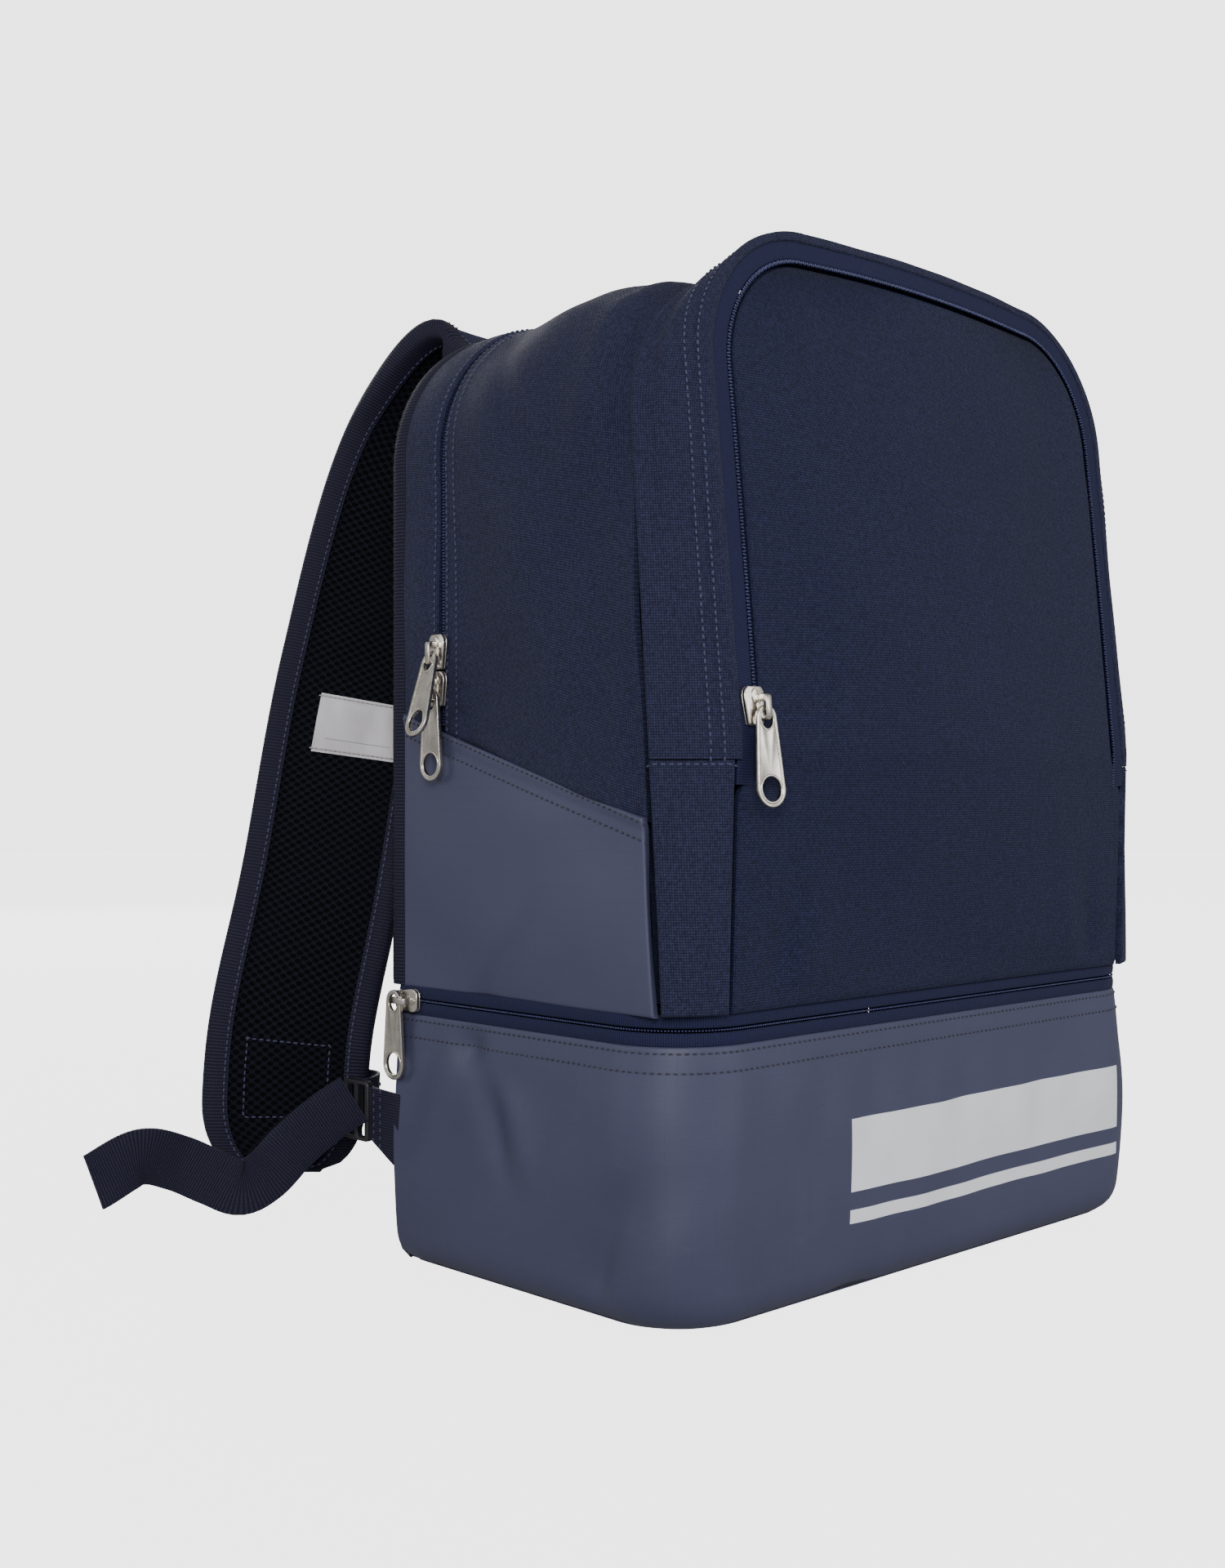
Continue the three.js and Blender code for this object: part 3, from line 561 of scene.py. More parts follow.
def shade(colour, k):
    return tuple(min(1.0, c * k) for c in colour)


def weave(s, pitch, ratio=1.0):
    """Height of a plain weave of threads a pitch apart, from 0 to 1, and its thread parity."""
    x, y, _ = s.axes(s.cloth)
    parts = []
    for value, p in ((x, pitch), (y, pitch * ratio)):
        cells = s.calc("DIVIDE", value, p)
        whole = s.calc("FLOOR", cells)
        inside = s.calc("SUBTRACT", s.calc("FRACT", cells), 0.5)
        parts.append((whole, s.calc("COSINE", s.calc("MULTIPLY", inside, PI * 0.96))))
    (i, a), (j, b) = parts
    parity = s.calc("PINGPONG", s.calc("ADD", i, j), 1.0)
    warp = s.calc("MULTIPLY", a, s.calc("MULTIPLY_ADD", b, 0.5, 0.5))
    weft = s.calc("MULTIPLY", b, s.calc("MULTIPLY_ADD", a, 0.5, 0.5))
    height = s.calc("ADD", s.calc("MULTIPLY", warp, parity),
                    s.calc("MULTIPLY", weft, s.calc("SUBTRACT", 1.0, parity)))
    return height, parity


def woven_cloth(name, colour):
    s = Surface(name, True)
    pitch = sizes().weave_pitch
    height, parity = weave(s, pitch)
    grain = s.noise(1 / pitch * 0.75, 2.0, 0.6)
    slub = s.noise(160, 3.0, 0.6, s.cloth, (1, 14, 1))
    broad = s.noise(9, 3.0, 0.55)
    fleck = s.calc("MULTIPLY", height, s.span(grain, 0.35, 0.68, 0.25, 1.0))
    body = s.blend(fleck, shade(colour, 0.34), shade(colour, 2.08))
    body = s.blend(s.span(slub, 0.4, 0.75, 0, 0.22), body, shade(colour, 2.1))
    body = s.blend(s.span(broad, 0.35, 0.7, 0.0, 0.25), body, shade(colour, 0.72))
    body = s.blend(s.calc("MULTIPLY", parity, 0.12), body, shade(colour, 1.5))
    rough = s.span(fleck, 0, 1, 0.78, 0.52)
    tall = s.calc("ADD", height, s.calc("MULTIPLY", grain, 0.5))
    return s.finish(body, rough, tall, depth=pitch * 0.45, strength=0.8,
                    Sheen_Weight=0.03, Sheen_Roughness=0.4, Specular_IOR_Level=0.14)


def coated_cloth(name, colour, mapped=True):
    s = Surface(name, mapped)
    x, y, _ = s.axes(s.cloth)
    lines = []
    for value in (x, y):
        cell = s.calc("FRACT", s.calc("DIVIDE", value, 0.0052))
        lines.append(s.calc("LESS_THAN", cell, 0.07))
    grid_line = s.calc("MAXIMUM", *lines)
    thread, _ = weave(s, 0.00055)
    broad = s.noise(7, 4.0, 0.6)
    scuff = s.noise(70, 5.0, 0.65, None, (1, 1, 3))
    body = s.blend(s.span(broad, 0.3, 0.7), shade(colour, 0.90), shade(colour, 1.08))
    body = s.blend(s.calc("MULTIPLY", grid_line, 0.10), body, shade(colour, 0.55))
    body = s.blend(s.span(scuff, 0.60, 0.80, 0, 0.16), body, shade(colour, 1.7))
    body = s.blend(s.calc("MULTIPLY", thread, 0.10), body, shade(colour, 1.35))
    rough = s.calc("ADD", s.span(broad, 0.3, 0.7, 0.44, 0.54), s.span(scuff, 0.55, 0.8, 0.0, 0.14))
    tall = s.calc("ADD", s.calc("MULTIPLY", thread, 0.35), s.calc("MULTIPLY", grid_line, 0.5))
    tall = s.calc("ADD", tall, s.calc("MULTIPLY", s.noise(900, 2.0), 0.5))
    return s.finish(body, rough, tall, depth=0.00012, strength=0.35,
                    Specular_IOR_Level=0.34)


def ribbed_tape(name, colour, rib=0.0011, across=0, mapped=True, gloss=0.62, bright=1.5):
    """Narrow woven tape, its ribs crossing it."""
    s = Surface(name, mapped)
    axes = s.axes(s.cloth)
    ribs = s.wave(axes[across], rib)
    cross = s.wave(axes[0 if across else 1], rib * 0.8)
    fine = s.noise(1600, 2.0, 0.6)
    broad = s.noise(18, 3.0)
    height = s.calc("MULTIPLY_ADD", s.calc("MULTIPLY", ribs, cross), 0.5, s.calc("MULTIPLY", ribs, 0.5))
    body = s.blend(s.calc("MULTIPLY", height, s.span(fine, 0.3, 0.7, 0.4, 1.0)),
                   shade(colour, 0.5), shade(colour, bright))
    body = s.blend(s.span(broad, 0.4, 0.7, 0, 0.3), body, shade(colour, 0.7))
    rough = s.span(height, 0, 1, gloss + 0.15, gloss)
    return s.finish(body, rough, s.calc("ADD", height, s.calc("MULTIPLY", fine, 0.3)),
                    depth=rib * 0.3, strength=0.7, Sheen_Weight=0.02, Sheen_Roughness=0.4,
                    Specular_IOR_Level=0.16)


def air_mesh(name, colour):
    """Spacer mesh: rows of long holes set like bricks between knitted ribs."""
    s = Surface(name)
    x, y, _ = s.axes(s.cloth)
    a, b = 0.0042, 0.0056
    one = s.calc("MULTIPLY", s.wave(x, a, PI / 2), s.wave(y, b, PI / 2))
    two = s.calc("MULTIPLY", s.wave(x, a, 1.5 * PI), s.wave(y, b, 1.5 * PI))
    cell = s.calc("MAXIMUM", one, two)
    hole = s.span(cell, 0.30, 0.62)
    yarn = s.calc("MULTIPLY", s.wave(x, 0.0007), s.wave(y, 0.0009))
    fine = s.noise(1400, 2.0, 0.6)
    broad = s.noise(14, 3.0)
    body = s.blend(s.calc("MULTIPLY", yarn, s.span(fine, 0.3, 0.7)), shade(colour, 0.75), shade(colour, 2.1))
    # The holes are painted near black, as painted shade in their depth
    body = s.blend(hole, body, shade(colour, 0.16))
    body = s.blend(s.span(broad, 0.4, 0.7, 0, 0.35), body, shade(colour, 0.6))
    height = s.calc("ADD", s.calc("SUBTRACT", 1.0, hole), s.calc("MULTIPLY", yarn, 0.15))
    rough = s.span(hole, 0, 1, 0.7, 0.95)
    return s.finish(body, rough, height, depth=0.0012, strength=0.9,
                    Sheen_Weight=0.02, Sheen_Roughness=0.45, Specular_IOR_Level=0.1)


def satin_label(name, colour):
    s = Surface(name)
    x, y, _ = s.axes(s.cloth)
    fine = s.wave(x, 0.0004)
    crease = s.noise(60, 3.0, 0.55, None, (1, 1, 0.4))
    # The creases are painted darker in their hollows and lighter on their ridges, as painted shade and
    # highlight
    body = s.blend(s.span(crease, 0.3, 0.7), shade(colour, 0.8), shade(colour, 1.15))
    rule = s.calc("COMPARE", x, 0.0235, 0.00018)
    inset = s.calc("COMPARE", y, 0.0225, 0.0165)
    body = s.blend(s.calc("MULTIPLY", s.calc("MULTIPLY", rule, inset), 0.75), body, (0.05, 0.05, 0.07))
    height = s.calc("ADD", s.calc("MULTIPLY", fine, 0.3), crease)
    return s.finish(body, s.span(crease, 0.3, 0.7, 0.32, 0.5), height, depth=0.0006, strength=0.4,
                    Sheen_Weight=0.2, Specular_IOR_Level=0.6)


def plain_print(name):
    s = Surface(name)
    grain = s.noise(900, 3.0, 0.6)
    broad = s.noise(25, 3.0)
    body = s.blend(s.span(broad, 0.3, 0.7), (0.74, 0.75, 0.80), (0.82, 0.83, 0.88))
    body = s.blend(s.span(grain, 0.62, 0.8, 0, 0.35), body, (0.45, 0.46, 0.55))
    return s.finish(body, s.span(grain, 0.3, 0.7, 0.42, 0.6), grain, depth=0.0002, strength=0.3)


def nickel(name, colour):
    s = Surface(name, False)
    brushed = s.noise(700, 4.0, 0.6, None, (1, 1, 0.15))
    broad = s.noise(160, 3.0)
    wear = s.noise(420, 5.0, 0.7)
    body = s.blend(s.span(broad, 0.3, 0.7), shade(colour, 0.82), shade(colour, 1.1))
    body = s.blend(s.span(wear, 0.62, 0.75, 0, 0.5), body, shade(colour, 0.55))
    rough = s.calc("ADD", s.span(brushed, 0.3, 0.7, 0.20, 0.34), s.span(wear, 0.6, 0.8, 0, 0.18))
    return s.finish(body, rough, brushed, depth=0.00005, strength=0.3, Metallic=1.0)


def moulded(name, colour, rough=0.42, metallic=0.0):
    s = Surface(name, False)
    grain = s.noise(1800, 3.0, 0.6)
    broad = s.noise(40, 3.0)
    body = s.blend(s.span(broad, 0.3, 0.7), shade(colour, 0.8), shade(colour, 1.25))
    return s.finish(body, s.span(grain, 0.3, 0.7, rough - 0.06, rough + 0.1), grain,
                    depth=0.0001, strength=0.5, Metallic=metallic)


def thread(name, colour):
    s = Surface(name, False)
    twist = s.wave(s.calc("ADD", s.axes(s.place)[2], s.axes(s.place)[0]), 0.0005)
    fine = s.noise(2500, 2.0)
    body = s.blend(s.calc("MULTIPLY", twist, fine), shade(colour, 0.7), shade(colour, 2.4))
    return s.finish(body, 0.55, twist, depth=0.0001, strength=0.5, Sheen_Weight=0.2)


def cell_foam(name, colour):
    s = Surface(name, False)
    cells = s.noise(900, 4.0, 0.7)
    body = s.blend(s.span(cells, 0.35, 0.65), shade(colour, 0.6), shade(colour, 1.3))
    return s.finish(body, s.span(cells, 0.3, 0.7, 0.85, 1.0), cells, depth=0.0005, strength=0.7)


def fibre_board(name, colour):
    s = Surface(name, False)
    fibre = s.noise(240, 5.0, 0.65, None, (1, 5, 1))
    body = s.blend(s.span(fibre, 0.3, 0.7), shade(colour, 0.7), shade(colour, 1.4))
    return s.finish(body, s.span(fibre, 0.3, 0.7, 0.5, 0.75), fibre, depth=0.0003, strength=0.4)


LOOK = {}


def look(name):
    """The named finish, made once."""
    if name not in LOOK:
        c = colours()
        makers = {
            "canvas": lambda: woven_cloth("Canvas", c.woven),
            # The sides' canvas is the same canvas painted lighter and greyer, as painted light
            "canvas_side_painted_light": lambda: woven_cloth("Canvas of the sides, painted lighter", tinted(c.woven, SIDE_LIGHT_TINT)),
            "coated": lambda: coated_cloth("Coated cloth", c.coated),
            "tape": lambda: ribbed_tape("Zip tape", c.tape),
            "binding": lambda: ribbed_tape("Binding", c.webbing, 0.0016, 0, gloss=0.6, bright=2.4),
            "webbing": lambda: ribbed_tape("Webbing", c.webbing, 0.0013, 0, gloss=0.5, bright=2.6),
            "mesh": lambda: air_mesh("Air mesh", c.mesh),
            # The back's mesh is the straps' mesh painted 2.2 times lighter, as painted light on the dimly
            # lit back
            "back_mesh": lambda: air_mesh("Air mesh on the back, painted lighter", shade(c.mesh, 2.2)),
            "label": lambda: satin_label("Satin label", c.label),
            "print": lambda: plain_print("Plain print"),
            "nickel": lambda: nickel("Nickel", c.metal),
            "plastic": lambda: moulded("Moulded plastic", (0.012, 0.012, 0.016)),
            "coil": lambda: moulded("Zip coil", shade(c.tape, 1.3), 0.3),
            "thread": lambda: thread("Thread", shade(c.tape, 1.3)),
            "thread_label": lambda: thread("Pale thread", shade(c.label, 0.55)),
            "webbing_plain": lambda: ribbed_tape("Webbing tab", c.webbing, 0.0013, 2, mapped=False,
                                                 gloss=0.5, bright=2.6),
            "thread_coated": lambda: thread("Thread on the coated cloth", shade(c.woven, 0.5)),
            "foam": lambda: cell_foam("Foam", (0.04, 0.04, 0.05)),
            "board": lambda: fibre_board("Fibre board", (0.012, 0.012, 0.014)),
        }
        LOOK[name] = makers[name]()
    return LOOK[name]


# ---- Repeats along lines, by Geometry Nodes ----

def repeat_tree(name):
    """A tree that sets small rounded bars along lines, facing each line's outward attribute."""
    tree = bpy.data.node_groups.new(name, "GeometryNodeTree")
    face = tree.interface
    face.new_socket("Lines", in_out="INPUT", socket_type="NodeSocketGeometry")
    for label, value in (("Pitch", 0.0033), ("Length", 0.0024), ("Width", 0.0008),
                         ("Height", 0.0005), ("Stagger", 0.0), ("Tilt", 0.0)):
        socket = face.new_socket(label, in_out="INPUT", socket_type="NodeSocketFloat")
        socket.default_value = value
    face.new_socket("Finish", in_out="INPUT", socket_type="NodeSocketMaterial")
    face.new_socket("Bars", in_out="OUTPUT", socket_type="NodeSocketGeometry")
    new, wire = tree.nodes.new, tree.links.new
    start, end = new("NodeGroupInput"), new("NodeGroupOutput")
    curve = new("GeometryNodeMeshToCurve")
    wire(start.outputs["Lines"], curve.inputs["Mesh"])
    steps = new("GeometryNodeResampleCurve")
    steps.mode = "LENGTH"
    wire(curve.outputs[0], steps.inputs["Curve"])
    wire(start.outputs["Pitch"], steps.inputs["Length"])
    ball = new("GeometryNodeMeshUVSphere")
    ball.inputs["Segments"].default_value = 6
    ball.inputs["Rings"].default_value = 4
    ball.inputs["Radius"].default_value = 0.5
    outward = new("GeometryNodeInputNamedAttribute")
    outward.data_type = "FLOAT_VECTOR"
    outward.inputs["Name"].default_value = "outward"
    tangent = new("GeometryNodeInputTangent")
    turn = new("FunctionNodeAxesToRotation")
    turn.primary_axis, turn.secondary_axis = "Z", "X"
    wire(outward.outputs["Attribute"], turn.inputs["Primary Axis"])
    wire(tangent.outputs[0], turn.inputs["Secondary Axis"])
    scale = new("ShaderNodeCombineXYZ")
    for k, label in enumerate(("Length", "Width", "Height")):
        wire(start.outputs[label], scale.inputs[k])
    index = new("GeometryNodeInputIndex")
    odd = new("ShaderNodeMath")
    odd.operation = "PINGPONG"
    wire(index.outputs[0], odd.inputs[0])
    odd.inputs[1].default_value = 1.0
    sign = new("ShaderNodeMath")
    sign.operation = "MULTIPLY_ADD"
    wire(odd.outputs[0], sign.inputs[0])
    sign.inputs[1].default_value = 2.0
    sign.inputs[2].default_value = -1.0
    aside = new("ShaderNodeMath")
    aside.operation = "MULTIPLY"
    wire(sign.outputs[0], aside.inputs[0])
    wire(start.outputs["Stagger"], aside.inputs[1])
    shift = new("ShaderNodeCombineXYZ")
    wire(aside.outputs[0], shift.inputs[1])
    tilt = new("ShaderNodeMath")
    tilt.operation = "MULTIPLY"
    wire(sign.outputs[0], tilt.inputs[0])
    wire(start.outputs["Tilt"], tilt.inputs[1])
    spin = new("ShaderNodeCombineXYZ")
    wire(tilt.outputs[0], spin.inputs[2])
    place = new("GeometryNodeInstanceOnPoints")
    wire(steps.outputs[0], place.inputs["Points"])
    wire(ball.outputs["Mesh"], place.inputs["Instance"])
    wire(turn.outputs[0], place.inputs["Rotation"])
    wire(scale.outputs[0], place.inputs["Scale"])
    move = new("GeometryNodeTranslateInstances")
    wire(place.outputs[0], move.inputs["Instances"])
    wire(shift.outputs[0], move.inputs["Translation"])
    rotate = new("GeometryNodeRotateInstances")
    wire(move.outputs[0], rotate.inputs["Instances"])
    wire(spin.outputs[0], rotate.inputs["Rotation"])
    real = new("GeometryNodeRealizeInstances")
    wire(rotate.outputs[0], real.inputs[0])
    soft = new("GeometryNodeSetShadeSmooth")
    wire(real.outputs[0], soft.inputs[0])
    finish = new("GeometryNodeSetMaterial")
    wire(soft.outputs[0], finish.inputs["Geometry"])
    wire(start.outputs["Finish"], finish.inputs["Material"])
    wire(finish.outputs[0], end.inputs[0])
    return tree


def bars_along(name, rows, body, slot, finish, replaces=(), **inputs):
    """Stitches or coil turns along lines, as one plain mesh on one body."""
    verts, edges, outs = [], [], []
    for pts, normals in rows:
        base = len(verts)
        verts += (pts * MM).tolist()
        outs += normals.tolist()
        edges += [(base + k, base + k + 1) for k in range(len(pts) - 1)]
    lines = bpy.data.meshes.new(name + "_lines")
    lines.from_pydata(verts, edges, [])
    layer = lines.attributes.new("outward", "FLOAT_VECTOR", "POINT")
    layer.data.foreach_set("vector", np.array(outs).ravel())
    carrier = link(name + "_lines", lines)
    tree = bpy.data.node_groups.get("Bars along lines") or repeat_tree("Bars along lines")
    mod = carrier.modifiers.new("Bars", "NODES")
    mod.node_group = tree
    ids = {i.name: i.identifier for i in tree.interface.items_tree if i.in_out == "INPUT"}
    mod[ids["Finish"]] = look(finish)
    for key, value in inputs.items():
        mod[ids[key.capitalize()]] = value
    graph = bpy.context.evaluated_depsgraph_get()
    made = bpy.data.meshes.new_from_object(carrier.evaluated_get(graph))
    bpy.data.objects.remove(carrier)
    made.name = name
    made.materials.clear()
    obj = link(name, made)
    return finish_piece(obj, look(finish), body, replaces)


STITCHES = {}


def sew(body, row, finish="thread"):
    STITCHES.setdefault((body, finish), []).append(row)


# ---- Padding ----

def points_of(mesh):
    flat = np.empty(len(mesh.vertices) * 3)
    mesh.vertices.foreach_get("co", flat)
    return flat.reshape(-1, 3)


def settled(obj):
    """The object's mesh as its modifiers leave it, with the modifiers taken off."""
    graph = bpy.context.evaluated_depsgraph_get()
    mesh = bpy.data.meshes.new_from_object(obj.evaluated_get(graph))
    obj.modifiers.clear()
    obj.data = mesh
    return mesh


def fill_pad(obj, room):
    """Blows a closed pad up by a short cloth simulation, and keeps the change under a cap.

    room takes the points in mm and gives how much of the swelling each may keep, from 0 to 1.
    """
    scene = bpy.context.scene
    mesh = obj.data
    work = bpy.data.objects.new(obj.name + "_fill", mesh.copy())
    scene.collection.objects.link(work)
    remesh = work.modifiers.new("Voxels", "REMESH")
    remesh.mode, remesh.voxel_size = "VOXEL", PAD_VOXEL
    before = points_of(settled(work))
    cloth = work.modifiers.new("Cloth", "CLOTH")
    cloth.settings.use_pressure = True
    cloth.settings.uniform_pressure_force = PAD_PRESSURE
    cloth.settings.quality = 4
    cloth.settings.mass = 0.25
    cloth.settings.effector_weights.gravity = 0
    cloth.point_cache.frame_start, cloth.point_cache.frame_end = 1, PAD_STEPS
    for step in range(1, PAD_STEPS + 1):
        scene.frame_set(step)
    done = settled(work)
    shift = points_of(done) - before
    size = np.linalg.norm(shift, axis=1, keepdims=True)
    shift *= np.minimum(1, PAD_SWELL / np.maximum(size, 1e-9))
    shift *= room(before / MM)[:, None]
    done.vertices.foreach_set("co", (before + shift).ravel())
    scene.frame_set(1)
    work.modifiers.new("Smooth", "SUBSURF").levels = 1
    final = settled(work)
    bpy.data.objects.remove(work)
    materials = list(mesh.materials)
    obj.data = final
    final.materials.clear()
    for material in materials:
        final.materials.append(material)
    final.polygons.foreach_set("use_smooth", [True] * len(final.polygons))


# ---- Metal parts ----

def outline_mesh(loops, half, bevel):
    """A flat plate from closed outlines, its first the outside and the rest holes."""
    curve = bpy.data.curves.new("Outline", "CURVE")
    curve.dimensions = "2D"
    curve.fill_mode = "BOTH"
    curve.extrude = half - bevel
    curve.bevel_depth = bevel
    curve.bevel_resolution = 2
    curve.offset = -bevel
    for loop in loops:
        spline = curve.splines.new("POLY")
        spline.points.add(len(loop) - 1)
        for point, (x, y) in zip(spline.points, loop):
            point.co = (x, y, 0, 1)
        spline.use_cyclic_u = True
    obj = bpy.data.objects.new("Outline", curve)
    bpy.context.scene.collection.objects.link(obj)
    graph = bpy.context.evaluated_depsgraph_get()
    mesh = bpy.data.meshes.new_from_object(obj.evaluated_get(graph))
    bpy.data.objects.remove(obj)
    bpy.data.curves.remove(curve)
    return mesh


def ring_points(cx, cy, rx, ry, count=36, start=0.0, turn=2 * PI, power=1.0):
    out = []
    full = abs(turn) >= 2 * PI - 1e-6
    for k in range(count):
        a = start + turn * k / (count if full else count - 1)
        taper = 1 - 0.18 * power * max(0, math.sin(a)) if power != 1.0 else 1
        out.append((cx + rx * taper * math.cos(a), cy + ry * math.sin(a)))
    return out


def pull_outline(inset):
    top_r, end_r, length = 5.2 - inset, 7.5 - inset, 42.0
    pts = ring_points(0, 5.2, top_r, top_r, 18, PI, PI)
    pts += ring_points(0, length - 7.5, end_r, end_r, 24, 0, PI)
    return pts


def merged(name, meshes, matrix):
    """Several meshes in millimetres joined in one, set in place, its doubles merged."""
    bm = bmesh.new()
    for mesh in meshes:
        bm.from_mesh(mesh)
        bpy.data.meshes.remove(mesh)
    bmesh.ops.remove_doubles(bm, verts=bm.verts, dist=1e-4)
    bmesh.ops.dissolve_degenerate(bm, edges=bm.edges, dist=1e-4)
    bm.transform(Matrix.Scale(MM, 4) @ matrix)
    bmesh.ops.recalc_face_normals(bm, faces=bm.faces)
    out = bpy.data.meshes.new(name)
    bm.to_mesh(out)
    bm.free()
    out.polygons.foreach_set("use_smooth", [True] * len(out.polygons))
    out.set_sharp_from_angle(angle=math.radians(40))
    return link(name, out)


def moved(mesh, matrix):
    mesh.transform(matrix)
    return mesh


def seat(origin, along, out):
    y = Vector(along).normalized()
    z = Vector(out)
    z = (z - y * z.dot(y)).normalized()
    x = y.cross(z)
    rows = Matrix((x, y, z)).transposed().to_4x4()
    return Matrix.Translation(Vector(origin) + z * 0.35) @ rows


def pull_meshes():
    ring = ring_points(0, 5.9, 3.3, 3.9, 28, power=0.7)[::-1]
    finger = ring_points(0, 34.5, 5.1, 5.1, 32)[::-1]
    plate = outline_mesh([pull_outline(0.5), ring, finger], 0.62, 0.2)
    rim = outline_mesh([pull_outline(0), pull_outline(1.5)[::-1]], 1.0, 0.42)
    eye = outline_mesh([ring_points(0, 34.5, 6.2, 6.2, 32), finger], 0.95, 0.4)
    top = outline_mesh([ring_points(0, 5.9, 4.3, 4.9, 28, power=0.7), ring], 0.95, 0.36)
    return [plate, rim, eye, top]


def slider_meshes(left, right):
    end = 8.0
    plan = [(-left + 2, -end), (right - 2, -end), (right - 0.5, -end + 1.6), (right, -end + 4),
            (right - 1.4, end - 0.6), (right - 2.2, end), (-left + 2.2, end),
            (-left + 1.4, end - 0.6), (-left, -end + 4), (-left + 0.5, -end + 1.6)]
    body = outline_mesh([plan], 0.9, 0.45)
    moved(body, Matrix.Translation((0, 0, 1.9)))
    under = outline_mesh([plan], 0.5, 0.25)
    moved(under, Matrix.Translation((0, 0, 0.5)))
    mid = 0.5 * (right - left)
    hump = outline_mesh([ring_points(mid, -4.0, 1.9, 3.2, 20)], 0.55, 0.4)
    moved(hump, Matrix.Translation((0, 0, 2.9)))
    bail = [(-4.6, -0.4), (6.2, -0.4), (6.2, 3.6), (5.7, 4.7), (4.7, 5.4), (-3.0, 5.4),
            (-4.0, 4.9), (-4.6, 3.8)]
    eye = [(-1.7, 0.8), (-1.7, 3.6), (-0.9, 4.4), (3.8, 4.4), (4.6, 3.6), (4.6, 0.8)]
    arm = outline_mesh([bail, eye], 1.5, 0.45)
    side = Matrix(((0, 0, 1, 0), (1, 0, 0, 0), (0, 1, 0, 2.8), (0, 0, 0, 1)))
    moved(arm, side)
    return [body, under, hump, arm]


def hang(seat_matrix, lift=0.0, aside=0.0):
    swing = Matrix.Rotation(aside, 4, "Z") @ Matrix.Rotation(lift, 4, "X")
    return seat_matrix @ Matrix.Translation((0, 1, 5.4)) @ swing @ Matrix.Translation((0, -1, 0))


def hang_sideways(seat_matrix):
    return seat_matrix @ Matrix.Translation((4.6, 5.4, 5.4)) @ Matrix.Rotation(PI / 2, 4, "Z")


def metal_piece(name, meshes, matrix, body, node):
    obj = merged(name, meshes, matrix)
    return finish_piece(obj, look("nickel"), body, (node,))


# ---- Pieces ----

class BagOperator:
    bl_options = {"REGISTER", "UNDO"}

    def execute(self, context):
        self.make()
        return {"FINISHED"}


class BACKPACK_OT_stage(BagOperator, bpy.types.Operator):
    """Make the pale floor, the soft lights and the camera"""
    bl_idname = "backpack.stage"
    bl_label = "Stage"

    def make(self):
        scene = bpy.context.scene
        data = bpy.data.cameras.new("Camera")
        data.lens, data.sensor_width, data.sensor_fit = CAMERA_LENS, CAMERA_FILM, "AUTO"
        data.clip_start, data.clip_end = 0.02, 60
        camera = bpy.data.objects.new("Camera", data)
        camera.location = CAMERA_PLACE
        camera.rotation_euler = (math.radians(CAMERA_TILT), 0, math.radians(CAMERA_TURN))
        scene.collection.objects.link(camera)
        scene.camera = camera

        world = bpy.data.worlds.new("Studio")
        world.use_nodes = True
        nodes, links = world.node_tree.nodes, world.node_tree.links
        back = nodes["Background"]
        back.inputs["Color"].default_value = (0.80, 0.80, 0.802, 1)
        seen = nodes.new("ShaderNodeLightPath").outputs["Is Camera Ray"]
        level = nodes.new("ShaderNodeMapRange")
        level.inputs["To Min"].default_value = WORLD_LIGHT
        level.inputs["To Max"].default_value = WORLD_SEEN
        links.new(seen, level.inputs["Value"])
        links.new(level.outputs[0], back.inputs["Strength"])
        scene.world = world

        for name, place, aim, size, power, tint in (
                ("Key", (-1.7, -1.5, 1.0), (0, 0, 0.24), 0.9, 40.0, (1, 0.99, 0.98)),
                ("Front", (0.6, -2.2, 0.7), (0, 0, 0.25), 1.4, 18.0, (0.97, 0.98, 1)),
                ("Back", (0.8, 2.3, 1.1), (0, 0, 0.28), 1.4, 34.0, (1, 1, 1)),
                ("Rim", (-2.2, 1.1, 0.9), (0, 0.1, 0.3), 0.9, 9.0, (1, 1, 1))):
            lamp = bpy.data.lights.new(name, "AREA")
            lamp.energy, lamp.size, lamp.color = power, size, tint
            obj = bpy.data.objects.new(name, lamp)
            obj.location = place
            way = Vector(aim) - Vector(place)
            obj.rotation_euler = way.to_track_quat("-Z", "Y").to_euler()
            scene.collection.objects.link(obj)

        floor = bpy.data.meshes.new("Floor")
        ring = [(6 * math.cos(2 * PI * k / 48), 6 * math.sin(2 * PI * k / 48)) for k in range(48)]
        verts = [(x, y, -0.0006) for x, y in ring]
        floor.from_pydata(verts, [], [tuple(range(48))])
        obj = link("floor", floor)
        s = Surface("Pale floor", False)
        soft = s.noise(3, 2.0)
        s.finish(s.blend(soft, (0.30, 0.30, 0.303), (0.32, 0.32, 0.323)), 0.9)
        s.shader.inputs["Emission Color"].default_value = (0.80, 0.80, 0.802, 1)
        seen = s.add("ShaderNodeLightPath").outputs["Is Camera Ray"]
        s.wire(s.span(seen, 0, 1, 0.15, FLOOR_SEEN), s.shader.inputs["Emission Strength"])
        s.shader.inputs["Specular IOR Level"].default_value = 0.0
        obj.data.materials.append(s.mat)


